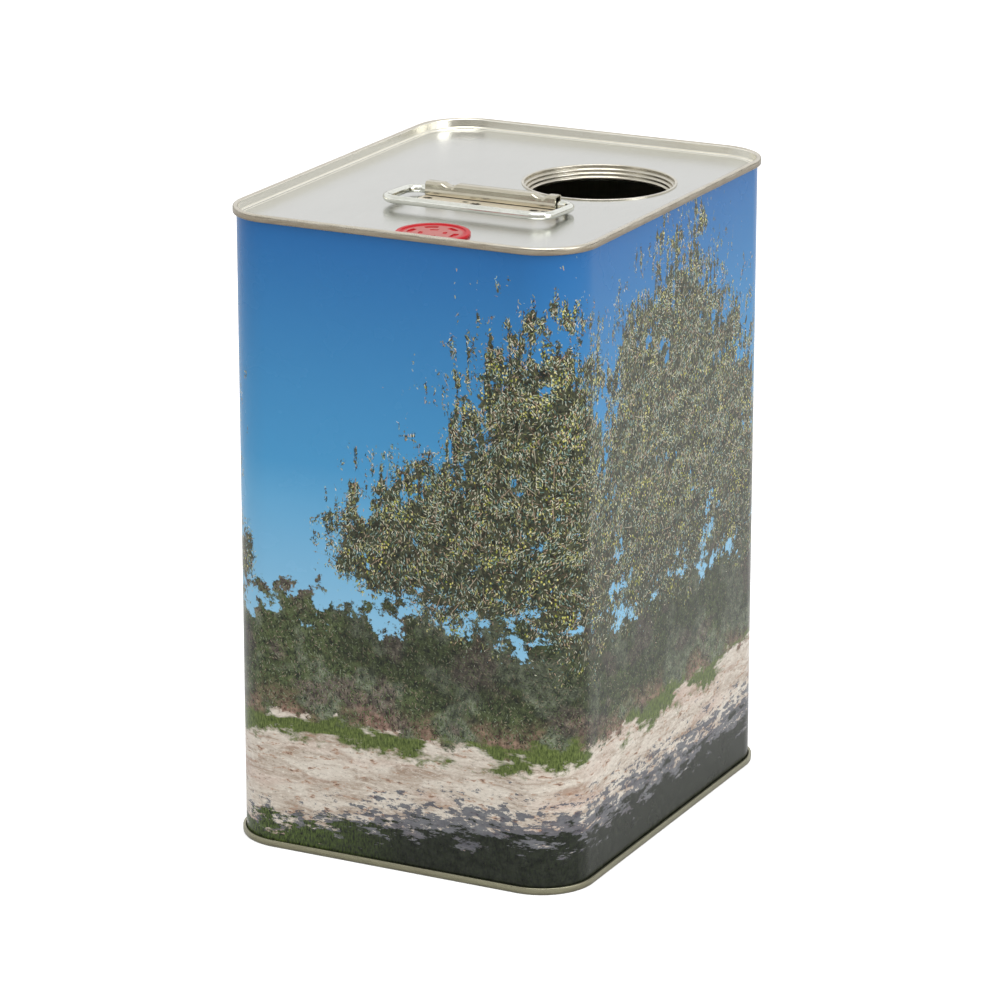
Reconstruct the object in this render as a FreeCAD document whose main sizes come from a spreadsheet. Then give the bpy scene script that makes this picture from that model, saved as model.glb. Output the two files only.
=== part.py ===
"""Ten-litre rectangular tin with a stepped filling mouth, a spout cap and a folding wire handle.

The body is one sheet of tinplate wrapped round into a tube. Each end is stamped with a recessed
panel and is double-seamed on to the tube: the edge of the end is rolled down outside the wall and
hooked up under the turned-out edge of the wall. The filling mouth is a stepped ring in the top
panel. The handle is a bent wire whose two ends turn in a folded clip, spot-welded to the panel.

Millimetres. Origin at the centre of the foot, +Z up, +X along the narrower front face (-Y side).
"""

import FreeCAD, Part
import math
import os
import Sketcher

# Driving sizes, in millimetres and degrees. Each is set by itself.
SIZES = {
    "body_width": 172.0,  # over the side walls, along X
    "body_depth": 216.0,  # over the front and back walls, along Y
    "total_height": 294.5,
    "corner_radius": 24.0,  # outside of the wall
    "sheet": 0.32,  # tinplate of the wall and the ends
    "seam_height": 3.3,
    "seam_proud": 1.7,  # seam outside the wall
    "seam_fit": 0.06,  # between the wall and the end's upright wall
    "hook_gap": 0.2,  # between the layers inside a seam
    "hook_length": 2.0,
    "seam_round": 0.9,  # shoulders of a seam
    "seam_curl": 0.4,  # lower edge of a seam
    "top_recess": 5.2,  # rim to panel
    "base_recess": 4.2,
    "recess_bevel": 1.0,
    "lap_from_left": 34.0,  # welded side lap, on the back wall
    "lap_width": 4.0,
    "lap_proud": 0.2,
    "mouth_x": 32.4,
    "mouth_y": 33.2,
    "mouth_lip": 0.6,  # lip beyond the neck
    "mouth_radius": 34.1,  # inside the first step
    "mouth_step_in": 0.93,
    "mouth_step_down": 1.65,
    "mouth_steps": 3,
    "mouth_curl": 1.25,  # lower rolled edge
    "mouth_neck": 0.7,  # neck wall round the first step
    "mouth_lip_height": 0.6,
    "mouth_crimp": 0.6,
    "fit": 0.1,  # running and seating clearance
    "cap_x": 10.5,
    "cap_from_front": 20.1,  # cap's centre behind the front wall
    "cap_radius": 16.5,
    "cap_height": 1.4,
    "cap_rim": 2.2,
    "cap_dish": 0.5,
    "cap_plug_radius": 12.5,
    "cap_plug_depth": 4.0,
    "cap_plug_wall": 1.4,
    "cap_slots": 6,
    "cap_slot_radius": 10.6,
    "cap_slot_width": 1.8,
    "cap_slot_angle": 30.0,
    "cap_slot_depth": 0.5,
    "clip_x": 6.7,
    "clip_y": -23.0,
    "clip_length": 64.8,
    "clip_sheet": 0.75,
    "clip_roof": 2.15,  # barrel above the bore
    "clip_side": 1.05,  # barrel wall beside the bore
    "clip_flange": 8.5,  # flange in front of the barrel
    "clip_hem": 0.5,  # folded edge, proud of the barrel's front
    "clip_hem_height": 2.7,
    "clip_round": 1.5,
    "clip_mouth_depth": 2.4,  # open fold at each end of the barrel
    "crimp_left": 11.7,  # from the left end of the barrel
    "crimp_right": 7.8,  # from the right end
    "crimp_radius": 5.4,
    "crimp_depth": 1.3,
    "wire_diameter": 3.7,
    "wire_grip": 8.0,  # length inside the barrel
    "loop_length": 81.8,  # between the centres of the two arms
    "loop_reach": 29.5,  # hinge line to the centre of the front bar
    "loop_front_bend": 8.0,
    "loop_back_bend": 6.5,
    "loop_tilt": 2.6,  # front bar lies higher than the hinge line
}

# Offsets from the outside of the wall, positive outwards.
OFFSETS = {
    "wall_outside": "0",
    "wall_inside": "-Sizes.sheet",
    "chuck_outside": "-Sizes.sheet - Sizes.seam_fit",
    "chuck_inside": "-2 * Sizes.sheet - Sizes.seam_fit",
    "seam_outside": "Sizes.seam_proud",
    "seam_inside": "Sizes.seam_proud - Sizes.sheet",
    "hook_outside": "Sizes.seam_proud - Sizes.sheet - Sizes.hook_gap",
    "hook_inside": "Sizes.seam_proud - 2 * Sizes.sheet - Sizes.hook_gap",
    "cover_outside": "Sizes.seam_proud - 2 * Sizes.sheet - 2 * Sizes.hook_gap",
    "cover_inside": "Sizes.seam_proud - 3 * Sizes.sheet - 2 * Sizes.hook_gap",
}

# Depths of a seamed end, measured from its rim towards the middle of the tin.
DEPTHS = {
    "rim": "0",
    "roof": "Sizes.sheet",
    "flange_out": "Sizes.sheet + Sizes.hook_gap",
    "flange_in": "2 * Sizes.sheet + Sizes.hook_gap",
    "hook_end": "Sizes.sheet + Sizes.hook_gap + Sizes.hook_length",
    "cover_end": "2 * Sizes.sheet + 2 * Sizes.hook_gap",
    "turn": "Sizes.seam_height - Sizes.sheet",
    "seam_end": "Sizes.seam_height",
    "panel_out": "Sizes.{end}_recess",
    "panel_in": "Sizes.{end}_recess + Sizes.sheet",
}

# Places of the fittings.
FITTINGS = {
    "neck_radius": "Sizes.mouth_radius + Sizes.mouth_neck",
    "mouth_hole": "Sizes.mouth_radius + Sizes.mouth_neck + Sizes.fit",
    "lip_radius": "Sizes.mouth_radius + Sizes.mouth_neck + Sizes.mouth_lip",
    "crimp_ring": "Sizes.mouth_radius + Sizes.mouth_neck + Sizes.mouth_crimp",
    "plug_hole": "Sizes.cap_plug_radius + Sizes.fit",
    "cap_y": "Sizes.cap_from_front - Sizes.body_depth / 2",
    "lap_x": "Sizes.lap_from_left - Sizes.body_width / 2",
    "bore_radius": "Sizes.wire_diameter / 2 + Sizes.fit",
    "axis_height": "Sizes.clip_sheet + Sizes.wire_diameter / 2 + Sizes.fit",
    "barrel_width": "Sizes.wire_diameter + 2 * Sizes.fit + 2 * Sizes.clip_side",
    "clip_height": "Sizes.clip_sheet + Sizes.wire_diameter + 2 * Sizes.fit + Sizes.clip_roof",
    "panel_z": "Sizes.total_height - Sizes.top_recess",
}

doc = FreeCAD.newDocument("RectangularTin")
sheets = {}


def fill_sheet(name, cells):
    """A spreadsheet with one aliased cell for each value."""
    sheet = doc.addObject("Spreadsheet::Sheet", name)
    for row, (alias, content) in enumerate(cells.items(), start=1):
        sheet.set(f"A{row}", alias)
        sheet.set(f"B{row}", str(content))
        sheet.setAlias(f"B{row}", alias)
        sheets[alias] = sheet
    doc.recompute()
    return sheet


def number(alias):
    """The present value of a named size or place."""
    return float(sheets[alias].get(alias))


def ref(alias):
    """A named size or place, as an expression."""
    return f"{sheets[alias].Name}.{alias}"


fill_sheet("Sizes", SIZES)
places = {}
for alias, formula in {**OFFSETS, **FITTINGS}.items():
    places[alias] = f"={formula}"
for end in ("top", "base"):
    for alias, formula in DEPTHS.items():
        depth = formula.format(end=end)
        height = f"Sizes.total_height - ({depth})" if end == "top" else depth
        places[f"{end}_{alias}"] = f"={height}"
fill_sheet("Places", places)


# ---- sketches and features -------------------------------------------------


def new_body(label):
    body = doc.addObject("PartDesign::Body", label)
    body.Label = label
    return body


def new_sketch(body, name, role="XY_Plane"):
    """A sketch on one of the body's own planes."""
    sketch = body.newObject("Sketcher::SketchObject", name)
    plane = [item for item in body.Origin.OriginFeatures if item.Role == role][0]
    sketch.AttachmentSupport = (plane, [""])
    sketch.MapMode = "FlatFace"
    return sketch


def at_height(sketch, alias):
    sketch.setExpression(".AttachmentOffset.Base.z", ref(alias))


def add_size(sketch, constraint, name, expression):
    """A dimension of the sketch that follows an expression."""
    index = sketch.addConstraint(constraint)
    sketch.renameConstraint(index, name)
    sketch.setExpression(f"Constraints.{name}", expression)


def draw_outline(sketch, offset):
    """The tin's rounded rectangle, moved outwards by a named offset."""
    out = number(offset)
    half_x = number("body_width") / 2 + out
    half_y = number("body_depth") / 2 + out
    radius = number("corner_radius") + out
    x, y = half_x - radius, half_y - radius
    corners = [(x, -y, -90), (x, y, 0), (-x, y, 90), (-x, -y, 180)]
    sides = [
        ((-x, -half_y), (x, -half_y)),
        ((half_x, -y), (half_x, y)),
        ((x, half_y), (-x, half_y)),
        ((-half_x, y), (-half_x, -y)),
    ]
    up = FreeCAD.Vector(0, 0, 1)
    lines, arcs = [], []
    for (start, stop), (cx, cy, turn) in zip(sides, corners):
        line = Part.LineSegment(FreeCAD.Vector(*start, 0), FreeCAD.Vector(*stop, 0))
        lines.append(sketch.addGeometry(line, False))
        circle = Part.Circle(FreeCAD.Vector(cx, cy, 0), up, radius)
        arc = Part.ArcOfCircle(circle, math.radians(turn), math.radians(turn + 90))
        arcs.append(sketch.addGeometry(arc, False))
    for i in range(4):
        sketch.addConstraint(Sketcher.Constraint("Tangent", lines[i], 2, arcs[i], 1))
        sketch.addConstraint(Sketcher.Constraint("Tangent", arcs[i], 2, lines[(i + 1) % 4], 1))
        direction = "Horizontal" if i % 2 == 0 else "Vertical"
        sketch.addConstraint(Sketcher.Constraint(direction, lines[i]))
    for arc in arcs[1:]:
        sketch.addConstraint(Sketcher.Constraint("Equal", arcs[0], arc))
    sketch.addConstraint(Sketcher.Constraint("Symmetric", lines[0], 1, lines[2], 1, -1, 1))
    add_size(
        sketch,
        Sketcher.Constraint("Radius", arcs[0], radius),
        f"{offset}_radius",
        f"Sizes.corner_radius + {ref(offset)}",
    )
    add_size(
        sketch,
        Sketcher.Constraint("DistanceX", lines[3], 1, lines[1], 1, 2 * half_x),
        f"{offset}_width",
        f"Sizes.body_width + 2 * {ref(offset)}",
    )
    add_size(
        sketch,
        Sketcher.Constraint("DistanceY", lines[0], 1, lines[2], 1, 2 * half_y),
        f"{offset}_depth",
        f"Sizes.body_depth + 2 * {ref(offset)}",
    )


def draw_circle(sketch, name, radius, centre=("0", "0"), start=(0.0, 0.0)):
    """A circle; radius and centre are expressions, start is a first guess at the centre."""
    circle = Part.Circle(FreeCAD.Vector(*start, 0), FreeCAD.Vector(0, 0, 1), 1.0)
    item = sketch.addGeometry(circle, False)
    add_size(sketch, Sketcher.Constraint("Radius", item, 1.0), f"{name}_radius", radius)
    for axis, kind, place, guess in zip("xy", ("DistanceX", "DistanceY"), centre, start):
        if place == "0":
            on_axis = -2 if axis == "x" else -1
            sketch.addConstraint(Sketcher.Constraint("PointOnObject", item, 3, on_axis))
        else:
            size = Sketcher.Constraint(kind, -1, 1, item, 3, guess)
            add_size(sketch, size, f"{name}_{axis}", place)


def draw_rectangle(sketch, name, low_x, high_x, low_y, high_y):
    """An upright rectangle between four expressions, measured from the sketch's origin."""
    corners = [(-1, -1), (1, -1), (1, 1), (-1, 1)]
    lines = []
    for i in range(4):
        start = FreeCAD.Vector(*corners[i], 0)
        stop = FreeCAD.Vector(*corners[(i + 1) % 4], 0)
        lines.append(sketch.addGeometry(Part.LineSegment(start, stop), False))
    for i in range(4):
        sketch.addConstraint(Sketcher.Constraint("Coincident", lines[i], 2, lines[(i + 1) % 4], 1))
        direction = "Horizontal" if i % 2 == 0 else "Vertical"
        sketch.addConstraint(Sketcher.Constraint(direction, lines[i]))
    sides = (
        ("low_x", "DistanceX", 0, -1.0, low_x),
        ("low_y", "DistanceY", 0, -1.0, low_y),
        ("high_x", "DistanceX", 2, 1.0, high_x),
        ("high_y", "DistanceY", 2, 1.0, high_y),
    )
    for side, kind, line, guess, place in sides:
        size = Sketcher.Constraint(kind, -1, 1, lines[line], 1, guess)
        add_size(sketch, size, f"{name}_{side}", place)


def pad(body, sketch, name, length, reversed_=False):
    feature = body.newObject("PartDesign::Pad", name)
    feature.Profile = sketch
    feature.Reversed = reversed_
    feature.setExpression("Length", length)
    doc.recompute()
    return feature


def pocket(body, sketch, name, length, reversed_=False, midplane=False):
    """A cut, stopped if it removes nothing."""
    before = body.Shape.Volume
    feature = body.newObject("PartDesign::Pocket", name)
    feature.Profile = sketch
    feature.Reversed = reversed_
    feature.Midplane = midplane
    feature.setExpression("Length", length)
    doc.recompute()
    if body.Shape.Volume > before - 1e-3:
        raise RuntimeError(f"{name} cuts nothing")
    return feature


def soften(body, name, kind, size, chosen):
    """A Fillet or Chamfer on the edges of the body's last shape for which chosen(edge) holds."""
    base = body.Tip
    names = [f"Edge{i}" for i, edge in enumerate(base.Shape.Edges, start=1) if chosen(edge)]
    if not names:
        raise RuntimeError(f"{name} finds no edge")
    feature = body.newObject(f"PartDesign::{kind}", name)
    feature.Base = (base, names)
    feature.setExpression("Radius" if kind == "Fillet" else "Size", size)
    doc.recompute()
    return feature


def band(body, name, outside, inside, low, high, cut=False):
    """A ring of the tin's outline between two offsets and two heights, added or cut away."""
    sketch = new_sketch(body, f"{name}_sketch")
    draw_outline(sketch, outside)
    if inside:
        draw_outline(sketch, inside)
    at_height(sketch, high if cut else low)
    length = f"{ref(high)} - {ref(low)}"
    return pocket(body, sketch, name, length) if cut else pad(body, sketch, name, length)


def outline_offset(point):
    """How far a point lies outside the wall's outline."""
    qx = abs(point.x) - number("body_width") / 2 + number("corner_radius")
    qy = abs(point.y) - number("body_depth") / 2 + number("corner_radius")
    beyond = math.hypot(max(qx, 0.0), max(qy, 0.0))
    return beyond + min(max(qx, qy), 0.0) - number("corner_radius")


def on_outline(offset, height):
    """Picks the edges of the outline at a named offset and height."""

    def chosen(edge):
        middle = edge.valueAt((edge.FirstParameter + edge.LastParameter) / 2)
        level = all(abs(v.Z - number(height)) < 1e-4 for v in edge.Vertexes)
        return level and abs(outline_offset(middle) - number(offset)) < 1e-3

    return chosen


# ---- wrapped wall, with its edges turned out and down into both seams ------


def make_wall():
    body = new_body("wall")
    band(body, "tube", "wall_outside", "wall_inside", "base_flange_out", "top_flange_out")
    for end in ("top", "base"):
        low, high = f"{end}_flange_in", f"{end}_flange_out"
        hook = f"{end}_hook_end"
        if end == "base":
            low, high = high, low
        band(body, f"{end}_flange", "hook_outside", "wall_inside", low, high)
        low, high = (hook, f"{end}_flange_in") if end == "top" else (f"{end}_flange_in", hook)
        band(body, f"{end}_hook", "hook_outside", "hook_inside", low, high)
    sketch = new_sketch(body, "lap_sketch")
    draw_rectangle(
        sketch,
        "lap",
        "Places.lap_x - Sizes.lap_width / 2",
        "Places.lap_x + Sizes.lap_width / 2",
        "Sizes.body_depth / 2 - Sizes.sheet / 2",
        "Sizes.body_depth / 2 + Sizes.lap_proud",
    )
    at_height(sketch, "base_seam_end")
    pad(body, sketch, "lap", "Places.top_seam_end - Places.base_seam_end")
    return body


# ---- stamped ends, double-seamed on to the wall ----------------------------


def make_end(end):
    """A recessed panel whose edge goes up inside the wall, over it, down and hooks back up."""

    def levels(first, second):
        """Two named depths of this end, the lower one first."""
        names = (f"{end}_{first}", f"{end}_{second}")
        return names if end == "base" else names[::-1]

    body = new_body(f"{end}_end")
    low, high = levels("rim", "seam_end")
    band(body, f"{end}_seam", "seam_outside", None, low, high)
    low, high = levels("seam_end", "panel_in")
    band(body, f"{end}_plug", "chuck_outside", None, low, high)
    low, high = levels("rim", "panel_out")
    band(body, f"{end}_recess", "chuck_inside", None, low, high, cut=True)
    low, high = levels("roof", "seam_end")
    band(body, f"{end}_cavity", "seam_inside", "chuck_outside", low, high, cut=True)
    low, high = levels("turn", "seam_end")
    band(body, f"{end}_turn", "seam_outside", "cover_inside", low, high)
    low, high = levels("cover_end", "turn")
    band(body, f"{end}_cover_hook", "cover_outside", "cover_inside", low, high)
    edges = (
        ("outer_shoulder", "Fillet", "Sizes.seam_round", "seam_outside", "rim"),
        ("inner_shoulder", "Fillet", "Sizes.seam_round", "chuck_inside", "rim"),
        ("recess_corner", "Chamfer", "Sizes.recess_bevel", "chuck_inside", "panel_out"),
        ("curl", "Chamfer", "Sizes.seam_curl", "seam_outside", "seam_end"),
    )
    for name, kind, size, offset, depth in edges:
        soften(body, f"{end}_{name}", kind, size, on_outline(offset, f"{end}_{depth}"))
    return body


def cut_panel_holes(body):
    """The holes that the mouth ring and the cap's plug pass through."""
    sketch = new_sketch(body, "panel_holes_sketch")
    for name, radius in (("mouth", "mouth_hole"), ("cap", "plug_hole")):
        centre = (ref(f"{name}_x"), ref(f"{name}_y"))
        guess = (number(f"{name}_x"), number(f"{name}_y"))
        draw_circle(sketch, name, ref(radius), centre, guess)
    at_height(sketch, "top_panel_out")
    pocket(body, sketch, "panel_holes", "2 * Sizes.sheet")


# ---- filling mouth: a ring of rolled steps, crimped into the panel ---------


def annulus(body, name, outer, inner, low, height):
    """A flat ring round the body's own axis; every size is an expression."""
    sketch = new_sketch(body, f"{name}_sketch")
    draw_circle(sketch, "outer", outer)
    if inner:
        draw_circle(sketch, "inner", inner)
    sketch.setExpression(".AttachmentOffset.Base.z", low)
    return pad(body, sketch, name, height)


def make_mouth():
    body = new_body("mouth_ring")
    body.setExpression(".Placement.Base.x", "Sizes.mouth_x")
    body.setExpression(".Placement.Base.y", "Sizes.mouth_y")
    body.setExpression(".Placement.Base.z", ref("panel_z"))
    steps = int(number("mouth_steps"))
    down = "Sizes.mouth_step_down"
    inner = "Sizes.mouth_radius"
    annulus(body, "lip", ref("lip_radius"), inner, "0 mm", "Sizes.mouth_lip_height")
    neck = ref("neck_radius")
    for i in range(steps + 1):
        radius = f"{inner} - {i} * Sizes.mouth_step_in"
        height = down if i < steps else "Sizes.mouth_curl"
        low = f"-{i} * {down} - {height}"
        annulus(body, f"step_{i + 1}", neck, radius, low, height)
    low = "-Sizes.sheet - Sizes.mouth_crimp"
    annulus(body, "crimp", ref("crimp_ring"), inner, low, "Sizes.mouth_crimp")
    return body


# ---- cap: a flat red plastic disc with a plug in the panel -----------------


def make_cap():
    body = new_body("spout_cap")
    body.setExpression(".Placement.Base.x", "Sizes.cap_x")
    body.setExpression(".Placement.Base.y", ref("cap_y"))
    body.setExpression(".Placement.Base.z", ref("panel_z"))
    annulus(body, "disc", "Sizes.cap_radius", None, "0 mm", "Sizes.cap_height")
    plug_inside = "Sizes.cap_plug_radius - Sizes.cap_plug_wall"
    depth = "Sizes.cap_plug_depth"
    annulus(body, "plug", "Sizes.cap_plug_radius", plug_inside, f"-{depth}", depth)
    sketch = new_sketch(body, "dish_sketch")
    draw_circle(sketch, "dish", "Sizes.cap_radius - Sizes.cap_rim")
    sketch.setExpression(".AttachmentOffset.Base.z", "Sizes.cap_height")
    pocket(body, sketch, "dish", "Sizes.cap_dish")
    sketch = new_sketch(body, "slot_sketch")
    draw_slot(sketch)
    sketch.setExpression(".AttachmentOffset.Base.z", "Sizes.cap_height - Sizes.cap_dish")
    slot = pocket(body, sketch, "slot", "Sizes.cap_slot_depth")
    pattern = body.newObject("PartDesign::PolarPattern", "slots")
    pattern.Originals = [slot]
    axis = [item for item in body.Origin.OriginFeatures if item.Role == "Z_Axis"][0]
    pattern.Axis = (axis, [""])
    pattern.Angle = 360
    pattern.setExpression("Occurrences", "Sizes.cap_slots")
    body.Tip = pattern
    doc.recompute()
    return body


def draw_slot(sketch):
    """A curved slot with square ends, centred on the X axis."""
    half = math.radians(number("cap_slot_angle") / 2)
    up = FreeCAD.Vector(0, 0, 1)
    arcs = []
    for side in (-1, 1):
        radius = number("cap_slot_radius") + side * number("cap_slot_width") / 2
        circle = Part.Circle(FreeCAD.Vector(0, 0, 0), up, radius)
        arcs.append(sketch.addGeometry(Part.ArcOfCircle(circle, -half, half), False))
        sketch.addConstraint(Sketcher.Constraint("Coincident", arcs[-1], 3, -1, 1))
        add_size(
            sketch,
            Sketcher.Constraint("Radius", arcs[-1], radius),
            f"radius_{len(arcs)}",
            f"Sizes.cap_slot_radius + {side} * Sizes.cap_slot_width / 2",
        )
    for end, turn in ((1, -half), (2, half)):
        ends = []
        for side in (-1, 1):
            radius = number("cap_slot_radius") + side * number("cap_slot_width") / 2
            ends.append(FreeCAD.Vector(radius * math.cos(turn), radius * math.sin(turn), 0))
        line = sketch.addGeometry(Part.LineSegment(*ends), False)
        sketch.addConstraint(Sketcher.Constraint("Coincident", line, 1, arcs[0], end))
        sketch.addConstraint(Sketcher.Constraint("Coincident", line, 2, arcs[1], end))
        sketch.addConstraint(Sketcher.Constraint("PointOnObject", -1, 1, line))
    sketch.addConstraint(Sketcher.Constraint("Symmetric", arcs[1], 1, arcs[1], 2, -1))
    chord = 2 * (number("cap_slot_radius") + number("cap_slot_width") / 2) * math.sin(half)
    add_size(
        sketch,
        Sketcher.Constraint("DistanceY", arcs[1], 1, arcs[1], 2, chord),
        "chord",
        "(2 * Sizes.cap_slot_radius + Sizes.cap_slot_width) * sin(Sizes.cap_slot_angle / 2 * 1 deg)",
    )


# ---- handle clip: a folded strip, open at both ends, spot-welded on --------


def make_clip():
    body = new_body("handle_clip")
    body.setExpression(".Placement.Base.x", "Sizes.clip_x")
    body.setExpression(".Placement.Base.y", "Sizes.clip_y")
    body.setExpression(".Placement.Base.z", ref("panel_z"))
    half = "Sizes.clip_length / 2"
    side = "Places.barrel_width / 2"
    sketch = new_sketch(body, "barrel_sketch")
    draw_rectangle(sketch, "barrel", f"-{half}", half, f"-{side}", side)
    pad(body, sketch, "barrel", "Places.clip_height")
    for edge_y, name in ((-1, "front"), (1, "back")):

        def on_top_edge(edge, place=edge_y * number("barrel_width") / 2):
            same = all(abs(v.Y - place) < 1e-4 for v in edge.Vertexes)
            return same and all(abs(v.Z - number("clip_height")) < 1e-4 for v in edge.Vertexes)

        soften(body, f"{name}_round", "Fillet", "Sizes.clip_round", on_top_edge)
    sketch = new_sketch(body, "hem_sketch")
    draw_rectangle(sketch, "hem", f"-{half}", half, f"-{side} - Sizes.clip_hem", "0")
    pad(body, sketch, "hem", "Sizes.clip_hem_height")
    sketch = new_sketch(body, "flange_sketch")
    draw_rectangle(sketch, "flange", f"-{half}", half, f"-{side} - Sizes.clip_flange", "0")
    pad(body, sketch, "flange", "Sizes.clip_sheet")
    for sign, name in ((-1, "left"), (1, "right")):
        sketch = new_sketch(body, f"{name}_bore_sketch", "YZ_Plane")
        draw_circle(sketch, "bore", ref("bore_radius"), ("0", ref("axis_height")), (0.0, 3.0))
        sketch.setExpression(".AttachmentOffset.Base.z", f"{sign} * {half}")
        pocket(body, sketch, f"{name}_bore", "Sizes.wire_grip + Sizes.fit", reversed_=sign < 0)
        sketch = new_sketch(body, f"{name}_mouth_sketch", "YZ_Plane")
        opening = ref("bore_radius")
        roof = "Places.clip_height - Sizes.clip_sheet"
        draw_rectangle(sketch, "mouth", f"-{opening}", opening, ref("axis_height"), roof)
        sketch.setExpression(".AttachmentOffset.Base.z", f"{sign} * {half}")
        pocket(body, sketch, f"{name}_mouth", "Sizes.clip_mouth_depth", reversed_=sign < 0)
        sketch = new_sketch(body, f"{name}_crimp_sketch", "XZ_Plane")
        centre = (f"{sign} * ({half} - Sizes.crimp_{name})",
                  "Places.clip_height + Sizes.crimp_radius - Sizes.crimp_depth")
        draw_circle(sketch, "crimp", "Sizes.crimp_radius", centre, (20.0 * sign, 10.0))
        pocket(body, sketch, f"{name}_crimp", "2 * Places.barrel_width", midplane=True)
    return body


# ---- handle wire: a loop whose ends turn in the clip -----------------------


def make_wire():
    """The loop lies in its own XY plane, with the hinge line on X."""
    body = new_body("handle_wire")
    body.setExpression(".Placement.Base.x", "Sizes.clip_x")
    body.setExpression(".Placement.Base.y", "Sizes.clip_y")
    body.setExpression(".Placement.Base.z", f"{ref('panel_z')} + {ref('axis_height')}")
    body.Placement.Rotation = FreeCAD.Rotation(FreeCAD.Vector(1, 0, 0), -number("loop_tilt"))
    half = number("loop_length") / 2
    reach = number("loop_reach")
    back, front = number("loop_back_bend"), number("loop_front_bend")
    inner = number("clip_length") / 2 - number("wire_grip")
    path = new_sketch(body, "path")
    up = FreeCAD.Vector(0, 0, 1)

    def line(x0, y0, x1, y1):
        segment = Part.LineSegment(FreeCAD.Vector(x0, y0, 0), FreeCAD.Vector(x1, y1, 0))
        return path.addGeometry(segment, False)

    def bend(cx, cy, radius, first):
        circle = Part.Circle(FreeCAD.Vector(cx, cy, 0), up, radius)
        arc = Part.ArcOfCircle(circle, math.radians(first), math.radians(first + 90))
        return path.addGeometry(arc, False)

    left_end = line(-inner, 0, -half + back, 0)
    left_back = bend(-half + back, -back, back, 90)
    left_arm = line(-half, -back, -half, -reach + front)
    left_front = bend(-half + front, -reach + front, front, 180)
    bar = line(-half + front, -reach, half - front, -reach)
    right_front = bend(half - front, -reach + front, front, 270)
    right_arm = line(half, -reach + front, half, -back)
    right_back = bend(half - back, -back, back, 0)
    right_end = line(half - back, 0, inner, 0)
    chain = (left_end, left_back, left_arm, left_front, bar, right_front, right_arm, right_back, right_end)
    for first, second in zip(chain, chain[1:]):
        path.addConstraint(Sketcher.Constraint("Tangent", first, 2, second, 1))
    path.addConstraint(Sketcher.Constraint("PointOnObject", left_end, 1, -1))
    path.addConstraint(Sketcher.Constraint("Horizontal", left_end))
    path.addConstraint(Sketcher.Constraint("Vertical", left_arm))
    path.addConstraint(Sketcher.Constraint("Horizontal", right_end))
    path.addConstraint(Sketcher.Constraint("Vertical", right_arm))
    path.addConstraint(Sketcher.Constraint("Equal", left_back, right_back))
    path.addConstraint(Sketcher.Constraint("Equal", left_front, right_front))
    path.addConstraint(Sketcher.Constraint("Symmetric", left_end, 1, right_end, 2, -2))
    path.addConstraint(Sketcher.Constraint("Symmetric", bar, 1, bar, 2, -2))
    sizes = (
        ("back_bend", "Radius", (left_back, back), "Sizes.loop_back_bend"),
        ("front_bend", "Radius", (left_front, front), "Sizes.loop_front_bend"),
        ("length", "DistanceX", (left_arm, 1, right_arm, 2, 2 * half), "Sizes.loop_length"),
        ("reach", "DistanceY", (bar, 1, -1, 1, reach), "Sizes.loop_reach"),
        ("ends", "DistanceX", (left_end, 1, right_end, 2, 2 * inner), "Sizes.clip_length - 2 * Sizes.wire_grip"),
    )
    for name, kind, items, expression in sizes:
        add_size(path, Sketcher.Constraint(kind, *items), name, expression)
    section = new_sketch(body, "section", "YZ_Plane")
    draw_circle(section, "wire", "Sizes.wire_diameter / 2")
    section.setExpression(".AttachmentOffset.Base.z", "-Sizes.clip_length / 2 + Sizes.wire_grip")
    doc.recompute()
    sweep = body.newObject("PartDesign::AdditivePipe", "bent_wire")
    sweep.Profile = section
    sweep.Spine = path
    doc.recompute()
    return body


# ---- the whole tin ---------------------------------------------------------

parts = [make_wall(), make_end("base"), make_end("top"), make_mouth(), make_cap(), make_clip()]
cut_panel_holes(parts[2])
parts.append(make_wire())
doc.recompute()

for item in doc.Objects:
    if "Invalid" in item.State or "Error" in item.State:
        raise RuntimeError(f"{item.Label} failed: {item.State}")
os.makedirs("parts", exist_ok=True)
for body in parts:
    if body.Shape.isNull() or not body.Shape.isValid() or len(body.Shape.Solids) != 1:
        raise RuntimeError(f"{body.Label} isn't one valid solid")
for body in parts:
    body.Shape.exportStep(f"parts/{body.Label}.step")
    box = body.Shape.BoundBox
    print(body.Label, round(body.Shape.Volume, 1), [round(v, 2) for v in (box.XLength, box.YLength, box.ZLength)])
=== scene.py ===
import math

import bmesh
import bpy
from mathutils import Matrix, Vector


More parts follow.
